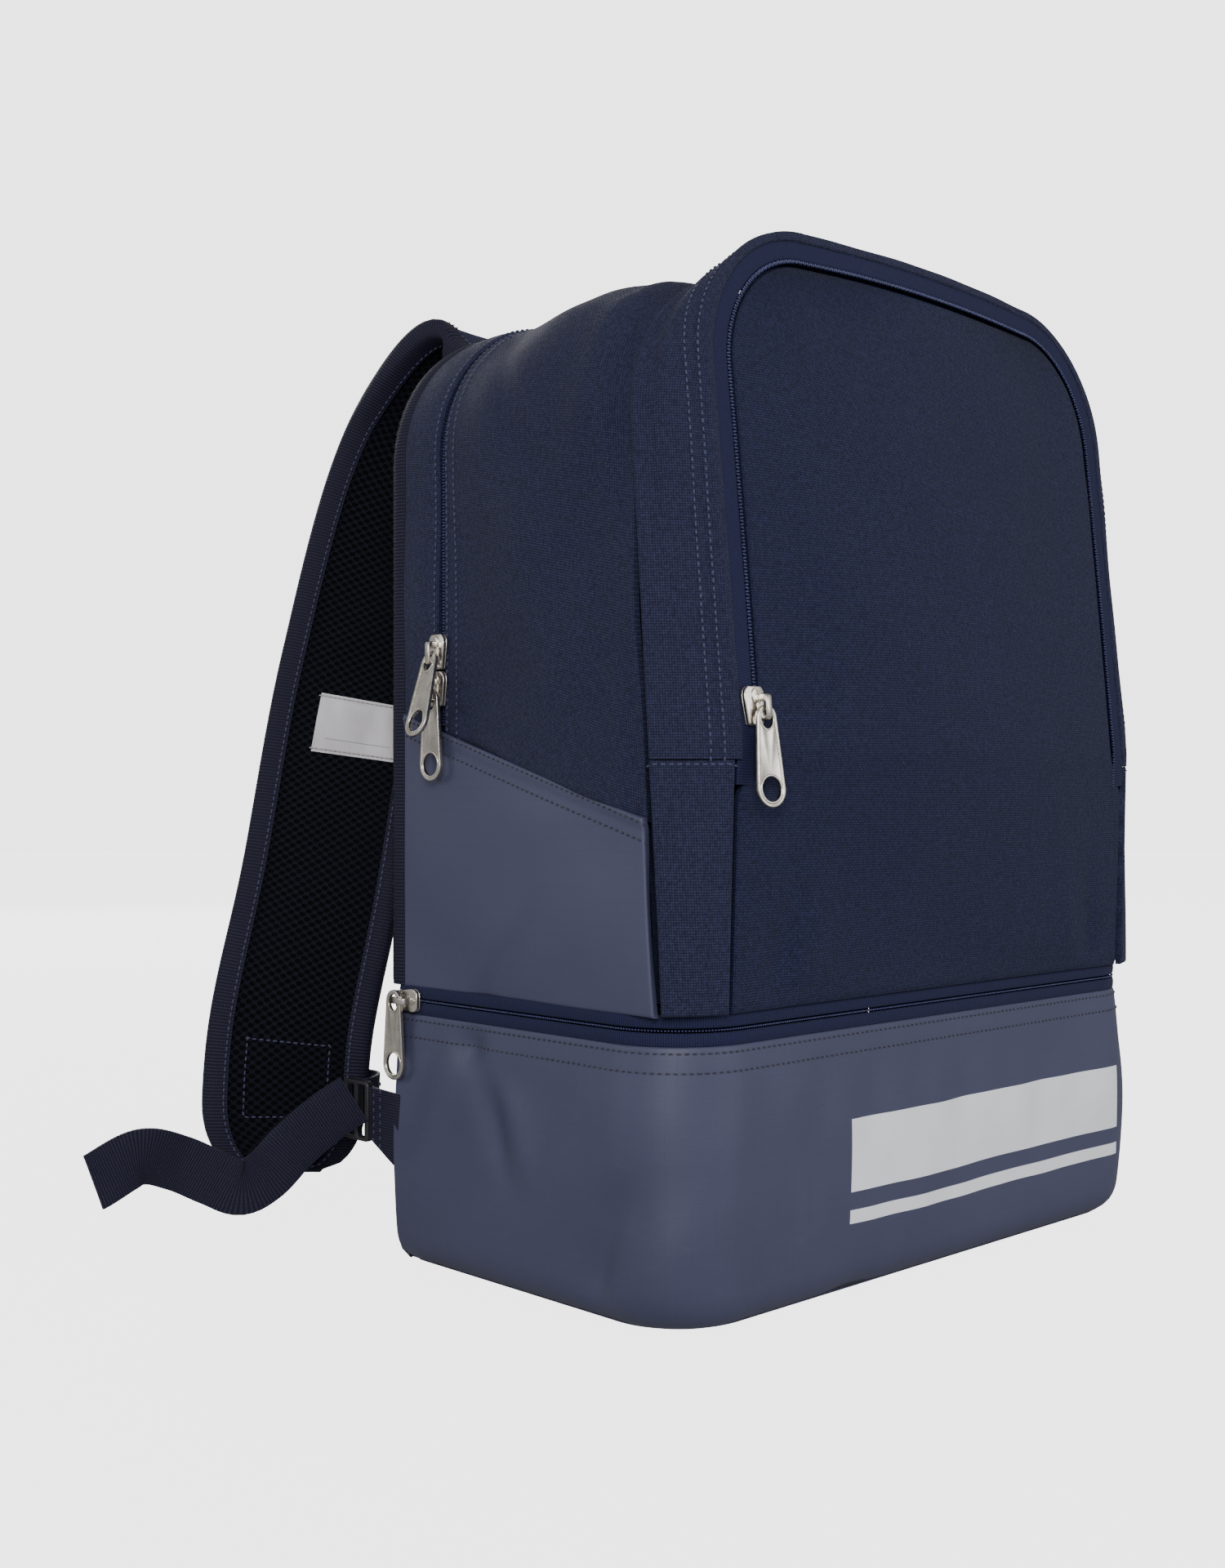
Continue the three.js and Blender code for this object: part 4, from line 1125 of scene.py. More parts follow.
class BACKPACK_OT_tails(BagOperator, bpy.types.Operator):
    """Make the loose ends of the strap webbing"""
    bl_idname = "backpack.tails"
    bl_label = "Webbing tails"

    def make(self):
        curve = Smooth3D(TAIL_POINTS)
        facing = np.array(TAIL_FACING)
        s = np.linspace(0, curve.length, 70)
        t = curve.tangent(s)
        across = np.cross(np.broadcast_to(facing, t.shape), t)
        across /= np.linalg.norm(across, axis=1, keepdims=True)
        off = np.cross(t, across)
        mid = curve.point(s)
        q = np.linspace(-0.5, 0.5, 13) * WEB_W
        edge = np.abs(q) / (WEB_W / 2)
        thick = WEB_T * (1 - 0.35 * edge ** 8)
        face = mid[:, None] + across[:, None] * q[None, :, None]
        n = np.broadcast_to(off[:, None], face.shape)
        p = face + n * (thick / 2)[None, :, None]
        for side, hand in (("left", -1), ("right", 1)):
            flip = np.array([-hand, 1, 1])
            obj = shell("strap_tail_" + side + "_web", p * flip, n * flip, WEB_T)
            finish_piece(obj, look("webbing"), "strap_" + side,
                         ("strap_tail_" + side,))


class BACKPACK_OT_compartment(BagOperator, bpy.types.Operator):
    """Make the coated walls, the base and the back wall of the shoe compartment"""
    bl_idname = "backpack.compartment"
    bl_label = "Shoe compartment"

    @staticmethod
    def wall_relief(p, u, v):
        z = p[..., 2]
        h = np.clip((z - 2) / (SHOE_TOP - 2), 0, 1)
        out = sizes().bulge / MM * np.sin(PI * h) ** 0.8
        out = out + 1.6 * ripple(p, 95, 11, (1, 1, 0.8)) * np.sin(PI * h)
        out = out + 0.55 * ripple(p, 32, 12, (1, 1, 0.5)) * smooth(h * 3) * smooth((1 - h) * 4)
        left = p[..., 0] < -100
        a = p[..., 1]
        out = out - np.where(left, 3.2 * bump_at(a, 34, 9) * bump_at(z, 106, 8), 0)
        out = out - np.where(left, 2.6 * bump_at(a - (z - 104) * 0.35, 26, 8)
                             * smooth((106 - z) / 30) * smooth((z - 40) / 30), 0)
        out = out + np.where(left, 1.6 * bump_at(a - (z - 104) * 0.35, 10, 9)
                             * smooth((100 - z) / 20) * smooth((z - 40) / 30), 0)
        out = out - np.where(left, 3.4 * bump_at(a + z * 0.35, -42, 9)
                             * smooth((74 - z) / 30) * smooth((z - 3) / 18), 0)
        out = out + np.where(left, 1.5 * bump_at(a + z * 0.45, -66, 12)
                             * smooth((70 - z) / 40) * smooth((z - 3) / 18), 0)
        front = a < -80
        x = p[..., 0]
        out = out - np.where(front, 1.6 * bump_at(x + (z - 60) * 0.5, -92, 14)
                             * smooth((96 - z) / 40), 0)
        foot = np.clip(1 - (z - BASE_T) / 13, 0, 1)
        return out - 7.5 * (1 - np.sqrt(np.maximum(0, 1 - foot ** 2)))

    def make(self):
        us, vs = np.linspace(0, 1, 261), edged(46, 117, ends=(False, True))

        def wall(u, v):
            x, y = three_sides(u, 0, REAR_JOIN_Y)
            return xyz(x, y, lerp(1.2, SHOE_TOP, v))
        _, p, n = panel("shoe_wall_cloth", wall, us, vs, look("coated"), "shoe_compartment",
                        "coated", ("shoe_wall",), relief=self.wall_relief, roll=(0, 0, 0, 1),
                        centre=(0, 0, 60))
        for distance in (-3.6, -11.5):
            sew("shoe_compartment", row_at(p, n, 1, distance), "thread_coated")
        self.p, self.n = p, n
        self.base()
        self.back()
        self.stripes(p, n)

    def base(self):
        bm = bmesh.new()
        u = np.linspace(0, 1, 240)
        x, y = three_sides(u, 0.4, REAR_JOIN_Y)
        pts = list(zip(x, y)) + [(HALF_WIDTH - 1.6, REAR_Y - 1.6), (-HALF_WIDTH + 1.6, REAR_Y - 1.6)]
        pts = np.array(pts)
        rings = []
        for k, (shrink, z) in enumerate(((7.6, 3.0), (6.8, 0.9), (8.5, 0.1), (14, 0.35), (24, 0.9),
                                         (45, 1.2), (75, 1.3))):
            sx = (HALF_WIDTH - shrink) / HALF_WIDTH
            sy = (93.5 - shrink) / 93.5
            q = np.stack([pts[:, 0] * sx, (pts[:, 1] + 1.5) * sy - 1.5, np.full(len(pts), z)], 1)
            wob = 0.35 * ripple(q, 70, 21) if k > 2 else 0
            q[:, 2] += wob
            rings.append([bm.verts.new(v) for v in q])
        for a, b in zip(rings, rings[1:]):
            for i in range(len(a)):
                j = (i + 1) % len(a)
                bm.faces.new((a[i], a[j], b[j], b[i]))
        bm.faces.new(rings[-1])
        bmesh.ops.solidify(bm, geom=bm.faces[:], thickness=1.6)
        bm.transform(Matrix.Scale(MM, 4))
        bmesh.ops.recalc_face_normals(bm, faces=bm.faces)
        mesh = bpy.data.meshes.new("base_cloth")
        bm.to_mesh(mesh)
        bm.free()
        layer = mesh.uv_layers.new(name="Cloth")
        co = np.array([mesh.vertices[l.vertex_index].co[:2] for l in mesh.loops])
        layer.data.foreach_set("uv", co.ravel())
        mesh.polygons.foreach_set("use_smooth", [True] * len(mesh.polygons))
        mesh.set_sharp_from_angle(angle=math.radians(50))
        finish_piece(link("base_cloth", mesh), look("coated"), "shoe_compartment",
                     ("base_panel",))

    def back(self):
        r = REAR_CORNER_R
        flat = HALF_WIDTH - r

        def wall(u, v):
            d = (u - 0.5) * 2 * (flat + PI * r / 2)
            hand = np.where(d < 0, -1.0, 1.0)
            past = np.clip((np.abs(d) - flat) / r, 0, None)
            x = hand * (np.minimum(np.abs(d), flat) + r * np.sin(past))
            y = REAR_JOIN_Y + GAP + r * np.cos(past)
            return xyz(x, y, lerp(1.2, ZIP_Z - GAP, v))

        def relief(p, u, v):
            out = 1.8 * np.sin(PI * v) * np.sin(PI * u) ** 0.5 + 0.8 * ripple(p, 80, 31)
            foot = np.clip(1 - (p[..., 2] - BASE_T) / 13, 0, 1)
            return out - 6.0 * (1 - np.sqrt(np.maximum(0, 1 - foot ** 2)))
        _, p, n = panel("shoe_back_cloth", wall, np.linspace(0, 1, 121), edged(30, 120, ends=(False, True)),
                        look("canvas"), "shoe_compartment", "woven", ("shoe_back_wall",),
                        relief=relief, roll=(0, 0, 0, 1), way=(0, 1, 0))
        sew("shoe_compartment", row_at(p, n, 1, -3.0))
        sew("shoe_compartment", row_at(p, n, 1, -9.0))

    def stripes(self, p, n):
        """Plain level bars printed on the front, in place of any mark."""
        count = sizes().stripes
        bands = [(46.0, 78.0), (32.0, 38.0), (24.0, 27.0), (88.0, 91.0)][:count]
        x0, x1 = -72.0, 150.0
        for k, (z0, z1) in enumerate(bands):
            mid = p[:, 0, 1] < -85
            cols = np.where(mid & (p[:, 10, 0] > x0) & (p[:, 10, 0] < x1))[0]
            a, b = cols[0], cols[-1]
            rows = np.linspace(z0, z1, 14)
            face = np.empty((b - a + 1, len(rows), 3))
            outs = np.empty_like(face)
            for i in range(a, b + 1):
                for c in range(3):
                    face[i - a, :, c] = np.interp(rows, p[i, :, 2], p[i, :, c])
                    outs[i - a, :, c] = np.interp(rows, p[i, :, 2], n[i, :, c])
            obj = shell("front_stripe_%d" % (k + 1), face + outs * 0.22, outs, 0.3)
            finish_piece(obj, look("print"), "shoe_compartment")


class BACKPACK_OT_walls(BagOperator, bpy.types.Operator):
    """Make the side panels, the gusset over the top, the rear band and the inner walls"""
    bl_idname = "backpack.walls"
    bl_label = "Walls of the upper bag"

    def make(self):
        for side, hand in (("left", -1), ("right", 1)):
            self.side_panel(side, hand)
        self.gusset()
        self.rear_band()
        self.inside()

    def side_panel(self, side, hand):
        def face(u, v):
            y0 = lerp(BODY_FRONT_Y, SIDE_REAR_Y, u)
            z = lerp(UPPER_BOTTOM - 0.8, edge_z(y0) + 1.2, v)
            return xyz(hand * (HALF_WIDTH + 0.2), lerp(wall_front_y(z), SIDE_REAR_Y, u), z)

        def relief(p, u, v):
            edge = np.sin(PI * np.clip(u, 0, 1)) ** 0.7
            out = 2.4 * edge * np.sin(PI * np.clip(v, 0, 1)) ** 0.6
            out = out + 1.5 * ripple(p, 85, 41 + hand) * edge * smooth((1 - v) * 4)
            crease = p[..., 1] + (p[..., 2] - 150) * 0.9
            out = out - 1.5 * bump_at(crease, 8, 9) * smooth((185 - p[..., 2]) / 40)
            return out + 0.9 * smooth((v - 0.93) / 0.05)
        _, p, n = panel("side_panel_%s_cloth" % side, face, edged(70, 165), edged(60, 105),
                        look("coated"), "upper_bag", "coated", ("side_panel_" + side,),
                        relief=relief, way=(hand, 0, 0))
        for distance in (-2.6, -10.4):
            sew("upper_bag", row_at(p, n, 1, distance), "thread_coated")

    @staticmethod
    def strip(y0, y1, foot=None, half=HALF_WIDTH, under=1.0):
        def face(u, v):
            start = foot if foot is not None else edge_z(lerp(y0, y1, v)) + GAP - under
            under_by = HALF_WIDTH - half
            x, z = arch(u, half, start, BODY_TOP - under_by, BODY_R - under_by, BODY_CROWN)
            return xyz(x, lerp(np.maximum(y0, wall_front_y(z)), y1, v), z)
        return face

    def gusset(self):
        y1 = MAIN_ZIP_Y - 1.7

        def relief(p, u, v):
            x, z = p[..., 0], p[..., 2]
            up = smooth((z - 250) / 60)
            out = 2.2 * np.sin(PI * v) * up
            out = out + 3.3 * ripple(p, 120, 51, (1, 1, 0.7)) * np.sin(PI * v) ** 0.6
            out = out + 1.5 * ripple(p, 46, 52, (1, 0.7, 0.5)) * smooth(v * 5) * smooth((1 - v) * 5)
            y = p[..., 1]
            pleat = y - wall_front_y(z)
            for hand in (-1, 1):
                on = (np.sign(x) == hand)
                out = out - np.where(on, 6.5 * bump_at(pleat, 3, 7) * smooth((z - 290) / 90), 0)
                out = out - np.where(on, 2.4 * bump_at(pleat, 2, 6) * smooth((300 - z) / 60), 0)
                line = pleat - (430 - z) * 0.22 - 14
                out = out + np.where(on, 2.0 * bump_at(line, 0, 9)
                                     * smooth((z - 330) / 60) * smooth((1 - v) * 4), 0)
                line = pleat - (z - 300) * 0.55 - 20
                out = out - np.where(on, 1.6 * bump_at(line, 0, 8) * bump_at(z, 385, 45), 0)
            top = smooth((z - 425) / 20)
            out = out - 2.4 * top * np.sin(PI * v)
            return out
        _, p, n = panel("main_gusset_cloth", self.strip(BODY_FRONT_Y, y1), np.linspace(0, 1, 341),
                        edged(44, 130), look("canvas_side_painted_light"), "upper_bag", "woven", ("main_gusset",),
                        relief=relief)
        sew("upper_bag", row_at(p, n, 1, -3.2))
        sew("upper_bag", row_at(p, n, 1, -9.6))

    def rear_band(self):
        y0 = MAIN_ZIP_Y + 1.7

        def relief(p, u, v):
            return 0.9 * np.sin(PI * v) + 0.5 * ripple(p, 60, 61)
        _, p, n = panel("rear_band_cloth", self.strip(y0, SIDE_REAR_Y), np.linspace(0, 1, 301),
                        edged(8, 18), look("canvas_side_painted_light"), "upper_bag", "woven", ("rear_band",),
                        relief=relief)
        sew("upper_bag", row_at(p, n, 1, 2.6))

    def inside(self):
        def face(u, v):
            z = lerp(UPPER_BOTTOM + 4, BODY_TOP - 6, v)
            past = np.clip((z - (BODY_TOP - BODY_R)) / BODY_R, 0, 1)
            half = HALF_WIDTH - BODY_R + BODY_R * np.sqrt(1 - past ** 2) - 8
            return xyz(lerp(-half, half, u), body_front_y(z) + 9, z)

        def relief(p, u, v):
            return 1.6 * ripple(p, 110, 71) * np.sin(PI * u) * np.sin(PI * v)
        _, p, n = panel("divider_cloth", face, np.linspace(0, 1, 61), np.linspace(0, 1, 61),
                        look("canvas"), "upper_bag", "woven", ("divider_panel",), thick=1.6,
                        relief=relief, roll=(0, 0, 0, 0), way=(0, -1, 0))
        sew("upper_bag", row_at(p, n, 1, -6))

        def floor(u, v):
            x = lerp(-HALF_WIDTH + 9, HALF_WIDTH - 9, u)
            over = np.clip((np.abs(x) - (HALF_WIDTH - 38)) / 29, 0, 1)
            front = FRONT_Y + 9 + 29 * (1 - np.sqrt(1 - over ** 2))
            return xyz(x, lerp(front, REAR_Y - 9, v), UPPER_BOTTOM + GAP + 2)

        def sag(p, u, v):
            return 0.5 * ripple(p, 90, 72) * np.sin(PI * u) * np.sin(PI * v)
        panel("main_floor_cloth", floor, np.linspace(0, 1, 61), np.linspace(0, 1, 41),
              look("canvas"), "upper_bag", "woven", ("main_floor",), thick=1.9, relief=sag,
              roll=(0, 0, 0, 0), way=(0, 0, 1))


class BACKPACK_OT_pocket(BagOperator, bpy.types.Operator):
    """Make the front pocket's gusset, feet and front panels"""
    bl_idname = "backpack.pocket"
    bl_label = "Front pocket"

    @staticmethod
    def gusset_point(s, v, foot):
        x0, z0 = arch(s, HALF_WIDTH - 1, foot, BODY_TOP, BODY_R, BODY_CROWN)
        inner = xyz(x0, body_front_y(z0) - GAP, z0)
        outer = pocket_arch(s, 0, foot)
        puff = 3 * np.sin(PI * v)
        point = lerp(inner, outer, v[..., None])
        point[..., 0] += puff * np.sign(point[..., 0]) * 0.5
        point[..., 1] -= puff * 0.6
        return point

    def make(self):
        self.gusset()
        self.feet()
        self.fronts()

    def gusset(self):
        us, vs = np.linspace(0, 1, 361), edged(30, 40)
        u, v = np.meshgrid(us, vs, indexing="ij")
        side = self.gusset_point(u, np.clip(v / 0.86, 0, 1), FOOT_Z + GAP)
        flange = pocket_arch(u, np.clip((v - 0.86) / 0.14, 0, 1) * 4.3, FOOT_Z + GAP)
        flange[..., 1] -= 1.3
        p = np.where((v > 0.86)[..., None], flange, side)
        n = grid_normals(p, (0, -20, 240))
        z = p[..., 2]
        out = 1.0 * ripple(p, 90, 81, (1, 1, 0.6)) * np.sin(PI * v)
        out = out + 0.5 * ripple(p, 34, 82, (1, 1, 0.6)) * np.sin(PI * v)
        out = out - 0.7 * bump_at(v, 0.72, 0.03) + 0.5 * smooth((v - 0.5) / 0.2) * (v < 0.86)
        out = out - 2.2 * bump_at(v, 0.16, 0.12) * smooth((z - 300) / 80)
        p = p + n * (out * smooth(np.minimum(u, 1 - u) / 0.035))[..., None]
        n = grid_normals(p, (0, -20, 240))
        p = rolled(p, n, (0, 0, 1, 1))
        obj = shell("pocket_gusset_cloth", p, n, CLOTH)
        finish_piece(obj, look("canvas_side_painted_light"), "upper_bag", ("pocket_gusset",))
        for distance in (-9.6, -15.4):
            sew("upper_bag", row_at(p, n, 1, distance))

    def feet(self):
        foot_x, _ = arch(np.array([0.0]), POCKET_HALF, FOOT_Z, POCKET_TOP, POCKET_R, 0)
        for side, hand in (("left", -1), ("right", 1)):
            def face(u, v, hand=hand):
                z = lerp(UPPER_BOTTOM, FOOT_Z, u)
                inner = xyz(hand * (HALF_WIDTH - 1) + 0 * z, body_front_y(z) - GAP, z)
                outer = xyz(hand * -foot_x[0] + 0 * z, front_y(POCKET_HALF, z), z)
                point = lerp(inner, outer, v[..., None])
                puff = 3 * np.sin(PI * v)
                point[..., 0] += puff * hand * 0.5
                point[..., 1] -= puff * 0.6 + 1.3 * smooth((v - 0.75) / 0.25)
                return point

            def relief(p, u, v, hand=hand):
                out = 1.0 * ripple(p, 60, 91 + hand) * np.sin(PI * v)
                return out + 1.4 * np.sin(PI * v) * np.sin(PI * u)
            _, p, n = panel("pocket_foot_%s_cloth" % side, face, edged(40, 103), edged(20, 28),
                            look("canvas_side_painted_light"), "upper_bag", "woven", ("pocket_foot_" + side,),
                            relief=relief, way=(hand, -0.6, 0))
            sew("upper_bag", row_at(p, n, 0, -2.4))

    @staticmethod
    def front_relief(p, u, v):
        x, z = p[..., 0], p[..., 2]
        out = 1.8 * ripple(p, 150, 101, (1, 1, 0.6))
        out = out + 0.7 * ripple(p, 60, 102, (1, 1, 0.45))
        edge = smooth((POCKET_HALF - 28 - np.abs(x)) / 40)
        out = out * edge
        low = smooth((200 - z) / 70)
        for hand in (-1, 1):
            fold = bump_at(x * hand - 118 - (170 - z) * 0.16, 0, 7)
            out = out - 2.6 * fold * low
            out = out + 2.0 * bump_at(x * hand - 98 - (170 - z) * 0.1, 0, 12) * low
        return out

    def fronts(self):
        """One panel from the compartment to the top, which folds at the foot of the zip."""
        inner, top = POCKET_HALF - PANEL_INSET + 0.6, POCKET_TOP - PANEL_INSET + 0.6
        r = POCKET_R - PANEL_INSET

        def face(u, v):
            z0 = lerp(UPPER_BOTTOM, top, v)
            past = np.clip((z0 - (top - r)) / r, 0, 1)
            wide = inner - r + r * np.sqrt(1 - past ** 2)
            wide = wide + (POCKET_HALF - SEAM - inner) * smooth((HINGE_Z + 2 - z0) / 26)
            x = lerp(-wide, wide, u)
            z = z0 + 2.6 * past * (1 - (x / wide) ** 2)
            return xyz(x, front_y(x, z), z)

        def relief(p, u, v):
            return self.front_relief(p, u, v) * smooth((1 - v) * 14) * smooth(v * 16)
        vs = 1 - (1 - np.linspace(0, 1, 171)) ** 1.2
        u, v = np.meshgrid(edged(130, 270), vs, indexing="ij")
        p = face(u, v)
        n = grid_normals(p, way=(0, -1, 0))
        p = p + n * relief(p, u, v)[..., None]
        n = grid_normals(p, way=(0, -1, 0))
        p = rolled(p, n, (1, 1, 1, 1))
        obj = shell("front_panel_cloth", p, n, CLOTH)
        obj.data.materials.append(look("canvas"))
        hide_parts("front_panel_upper", "front_panel_lower")
        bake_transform(obj)


class BACKPACK_OT_zips(BagOperator, bpy.types.Operator):
    """Make the tapes and the coils of the three zips"""
    bl_idname = "backpack.zips"
    bl_label = "Zips"

    def tape(self, name, face, us, vs, body, node, thick=1.2, ridge=0.0, **kw):
        def relief(p, u, v):
            return ridge * np.sin(PI * v) + 0 * u
        return panel(name, face, us, vs, look("tape"), body, "tape", (node,), thick=thick,
                     relief=relief, roll=(0, 0, 1, 1), radius=0.8, **kw)

    def coil(self, name, pts, outs, body, node, width):
        pitch = sizes().tooth_pitch
        bars_along(name, [(pts, outs)], body, "coil", "coil", (node,), pitch=pitch,
                   length=pitch * 0.86, width=width * 0.62 * MM, height=1.5 * MM,
                   stagger=width * 0.17 * MM, tilt=0.22)

    def make(self):
        self.main()
        self.pocket()
        self.bottom()

    def main(self):
        strip = BACKPACK_OT_walls.strip
        half = MAIN_COIL_W / 2
        us = np.linspace(0, 1, 301)
        sides = (("front", MAIN_ZIP_Y - half - GAP - MAIN_TAPE_W, MAIN_ZIP_Y - half - GAP + 0.9),
                 ("rear", MAIN_ZIP_Y + half + GAP - 0.9, MAIN_ZIP_Y + half + GAP + MAIN_TAPE_W))
        for side, y0, y1 in sides:
            self.tape("main_zip_%s_tape_cloth" % side, strip(y0, y1, MAIN_ZIP_END_Z, HALF_WIDTH - 3.4),
                      us, edged(6, 9, 0.8), "upper_bag", "main_zip_%s_tape" % side, ridge=0.5)
        x, z = arch(us, HALF_WIDTH - 1.5, MAIN_ZIP_END_Z, BODY_TOP - 1.5, BODY_R, BODY_CROWN)
        pts = xyz(x, MAIN_ZIP_Y, z)
        outs = grid_normals(np.stack([pts, pts + (0, 1, 0)], 1), (0, 56, 240))[:, 0]
        self.coil("main_zip_coil_turns", pts, outs, "upper_bag", "main_zip_coil", MAIN_COIL_W)

    def pocket(self):
        us = np.linspace(0, 1, 361)

        def strip(a, b, sunk=0.0, foot=POCKET_FOOT_Z):
            def face(u, v):
                p = pocket_arch(u, lerp(a, b, v), foot)
                p[..., 1] += sunk
                return p
            return face
        self.tape("pocket_zip_outer_tape_cloth", strip(TAPE_INSET - 1.2, COIL_INSET + 1.6), us,
                  edged(8, 9, 0.8), "upper_bag", "pocket_zip_outer_tape", ridge=0.4, way=(0, -1, 0))
        inner = strip(INNER_TAPE_INSET - 1.2, INNER_TAPE_INSET + POCKET_TAPE_W, 2.6, HINGE_Z)
        self.tape("pocket_zip_inner_tape_cloth", inner, us, edged(8, 9, 0.8), "pocket_flap",
                  "pocket_zip_inner_tape", ridge=0.4, way=(0, -1, 0))
        mid = strip(COIL_INSET, COIL_INSET + POCKET_COIL_W)
        p = mid(np.repeat(us[:, None], 3, 1), np.repeat([[0.0, 0.5, 1.0]], len(us), 0))
        n = grid_normals(p, way=(0, -1, 0))
        self.coil("pocket_zip_coil_turns", p[:, 1] - n[:, 1] * 0.1, n[:, 1], "upper_bag",
                  "pocket_zip_coil", POCKET_COIL_W * 0.8)

    def bottom(self):
        us = np.linspace(0, 1, 261)
        low, high = ZIP_Z - COIL_W / 2, ZIP_Z + COIL_W / 2 + GAP

        def band(z0, z1, inset):
            def face(u, v):
                x, y = three_sides(u, inset, REAR_JOIN_Y)
                return xyz(x, y, lerp(z0, z1, v))
            return face
        self.tape("bottom_zip_lower_tape_cloth", band(SHOE_TOP - 0.6, low - GAP + 0.2, 0.3), us,
                  edged(6, 6, 0.8), "shoe_compartment", "bottom_zip_lower_tape", ridge=0.5,
                  centre=(0, 0, 120))
        self.tape("bottom_zip_upper_tape_cloth", band(high - 0.2, high + TAPE_W + 0.6, 0.3), us,
                  edged(6, 6, 0.8), "upper_bag", "bottom_zip_upper_tape", ridge=0.5,
                  centre=(0, 0, 120))
        p = band(low, low + COIL_W, 0.7)(np.repeat(us[:, None], 3, 1),
                                         np.repeat([[0.0, 0.5, 1.0]], len(us), 0))
        n = grid_normals(p, (0, 0, 124))
        self.coil("bottom_zip_coil_turns", p[:, 1], n[:, 1], "shoe_compartment",
                  "bottom_zip_coil", COIL_W * 1.3)


class BACKPACK_OT_sliders(BagOperator, bpy.types.Operator):
    """Make the nickel sliders and their pulls"""
    bl_idname = "backpack.sliders"
    bl_label = "Sliders and pulls"

    def make(self):
        west = (-1, 0, 0)
        for name, z, lift, aside in (("upper", 285, 20, 8), ("lower", 268, 0, 0)):
            at = seat((-HALF_WIDTH, MAIN_ZIP_Y, z), (0, 0, -1), west)
            metal_piece("main_slider_%s_metal" % name, slider_meshes(5.5, 5.5), at,
                        "main_slider_" + name, "main_slider_" + name)
            metal_piece("main_pull_%s_metal" % name, pull_meshes(),
                        hang(at, math.radians(lift), math.radians(aside)),
                        "main_pull_" + name, "main_pull_" + name)
        z, coil_x = 256.0, -(POCKET_HALF - COIL_INSET - POCKET_COIL_W / 2)

        def slope(dx, dz):
            return float(front_y(coil_x + dx, z + dz) - front_y(coil_x - dx, z - dz)) / 2
        at = seat((coil_x, float(front_y(coil_x, z)), z), (0, -slope(0, 1), -1),
                  (slope(1, 0), -1, slope(0, 1)))
        metal_piece("pocket_slider_metal", slider_meshes(2.6, 8.4), at, "pocket_slider", "pocket_slider")
        metal_piece("pocket_pull_metal", pull_meshes(), hang(at), "pocket_pull", "pocket_pull")
        at = seat((-HALF_WIDTH, 78.5, ZIP_Z), (0, 1, 0), west)
        for side, mirror in (("left", Matrix.Identity(4)), ("right", Matrix.Diagonal((-1, 1, 1, 1)))):
            metal_piece("bottom_slider_%s_metal" % side, slider_meshes(5.5, 5.5), mirror @ at,
                        "bottom_slider_" + side, "bottom_slider_" + side)
            metal_piece("bottom_pull_%s_metal" % side, pull_meshes(), mirror @ hang_sideways(at),
                        "bottom_pull_" + side, "bottom_pull_" + side)


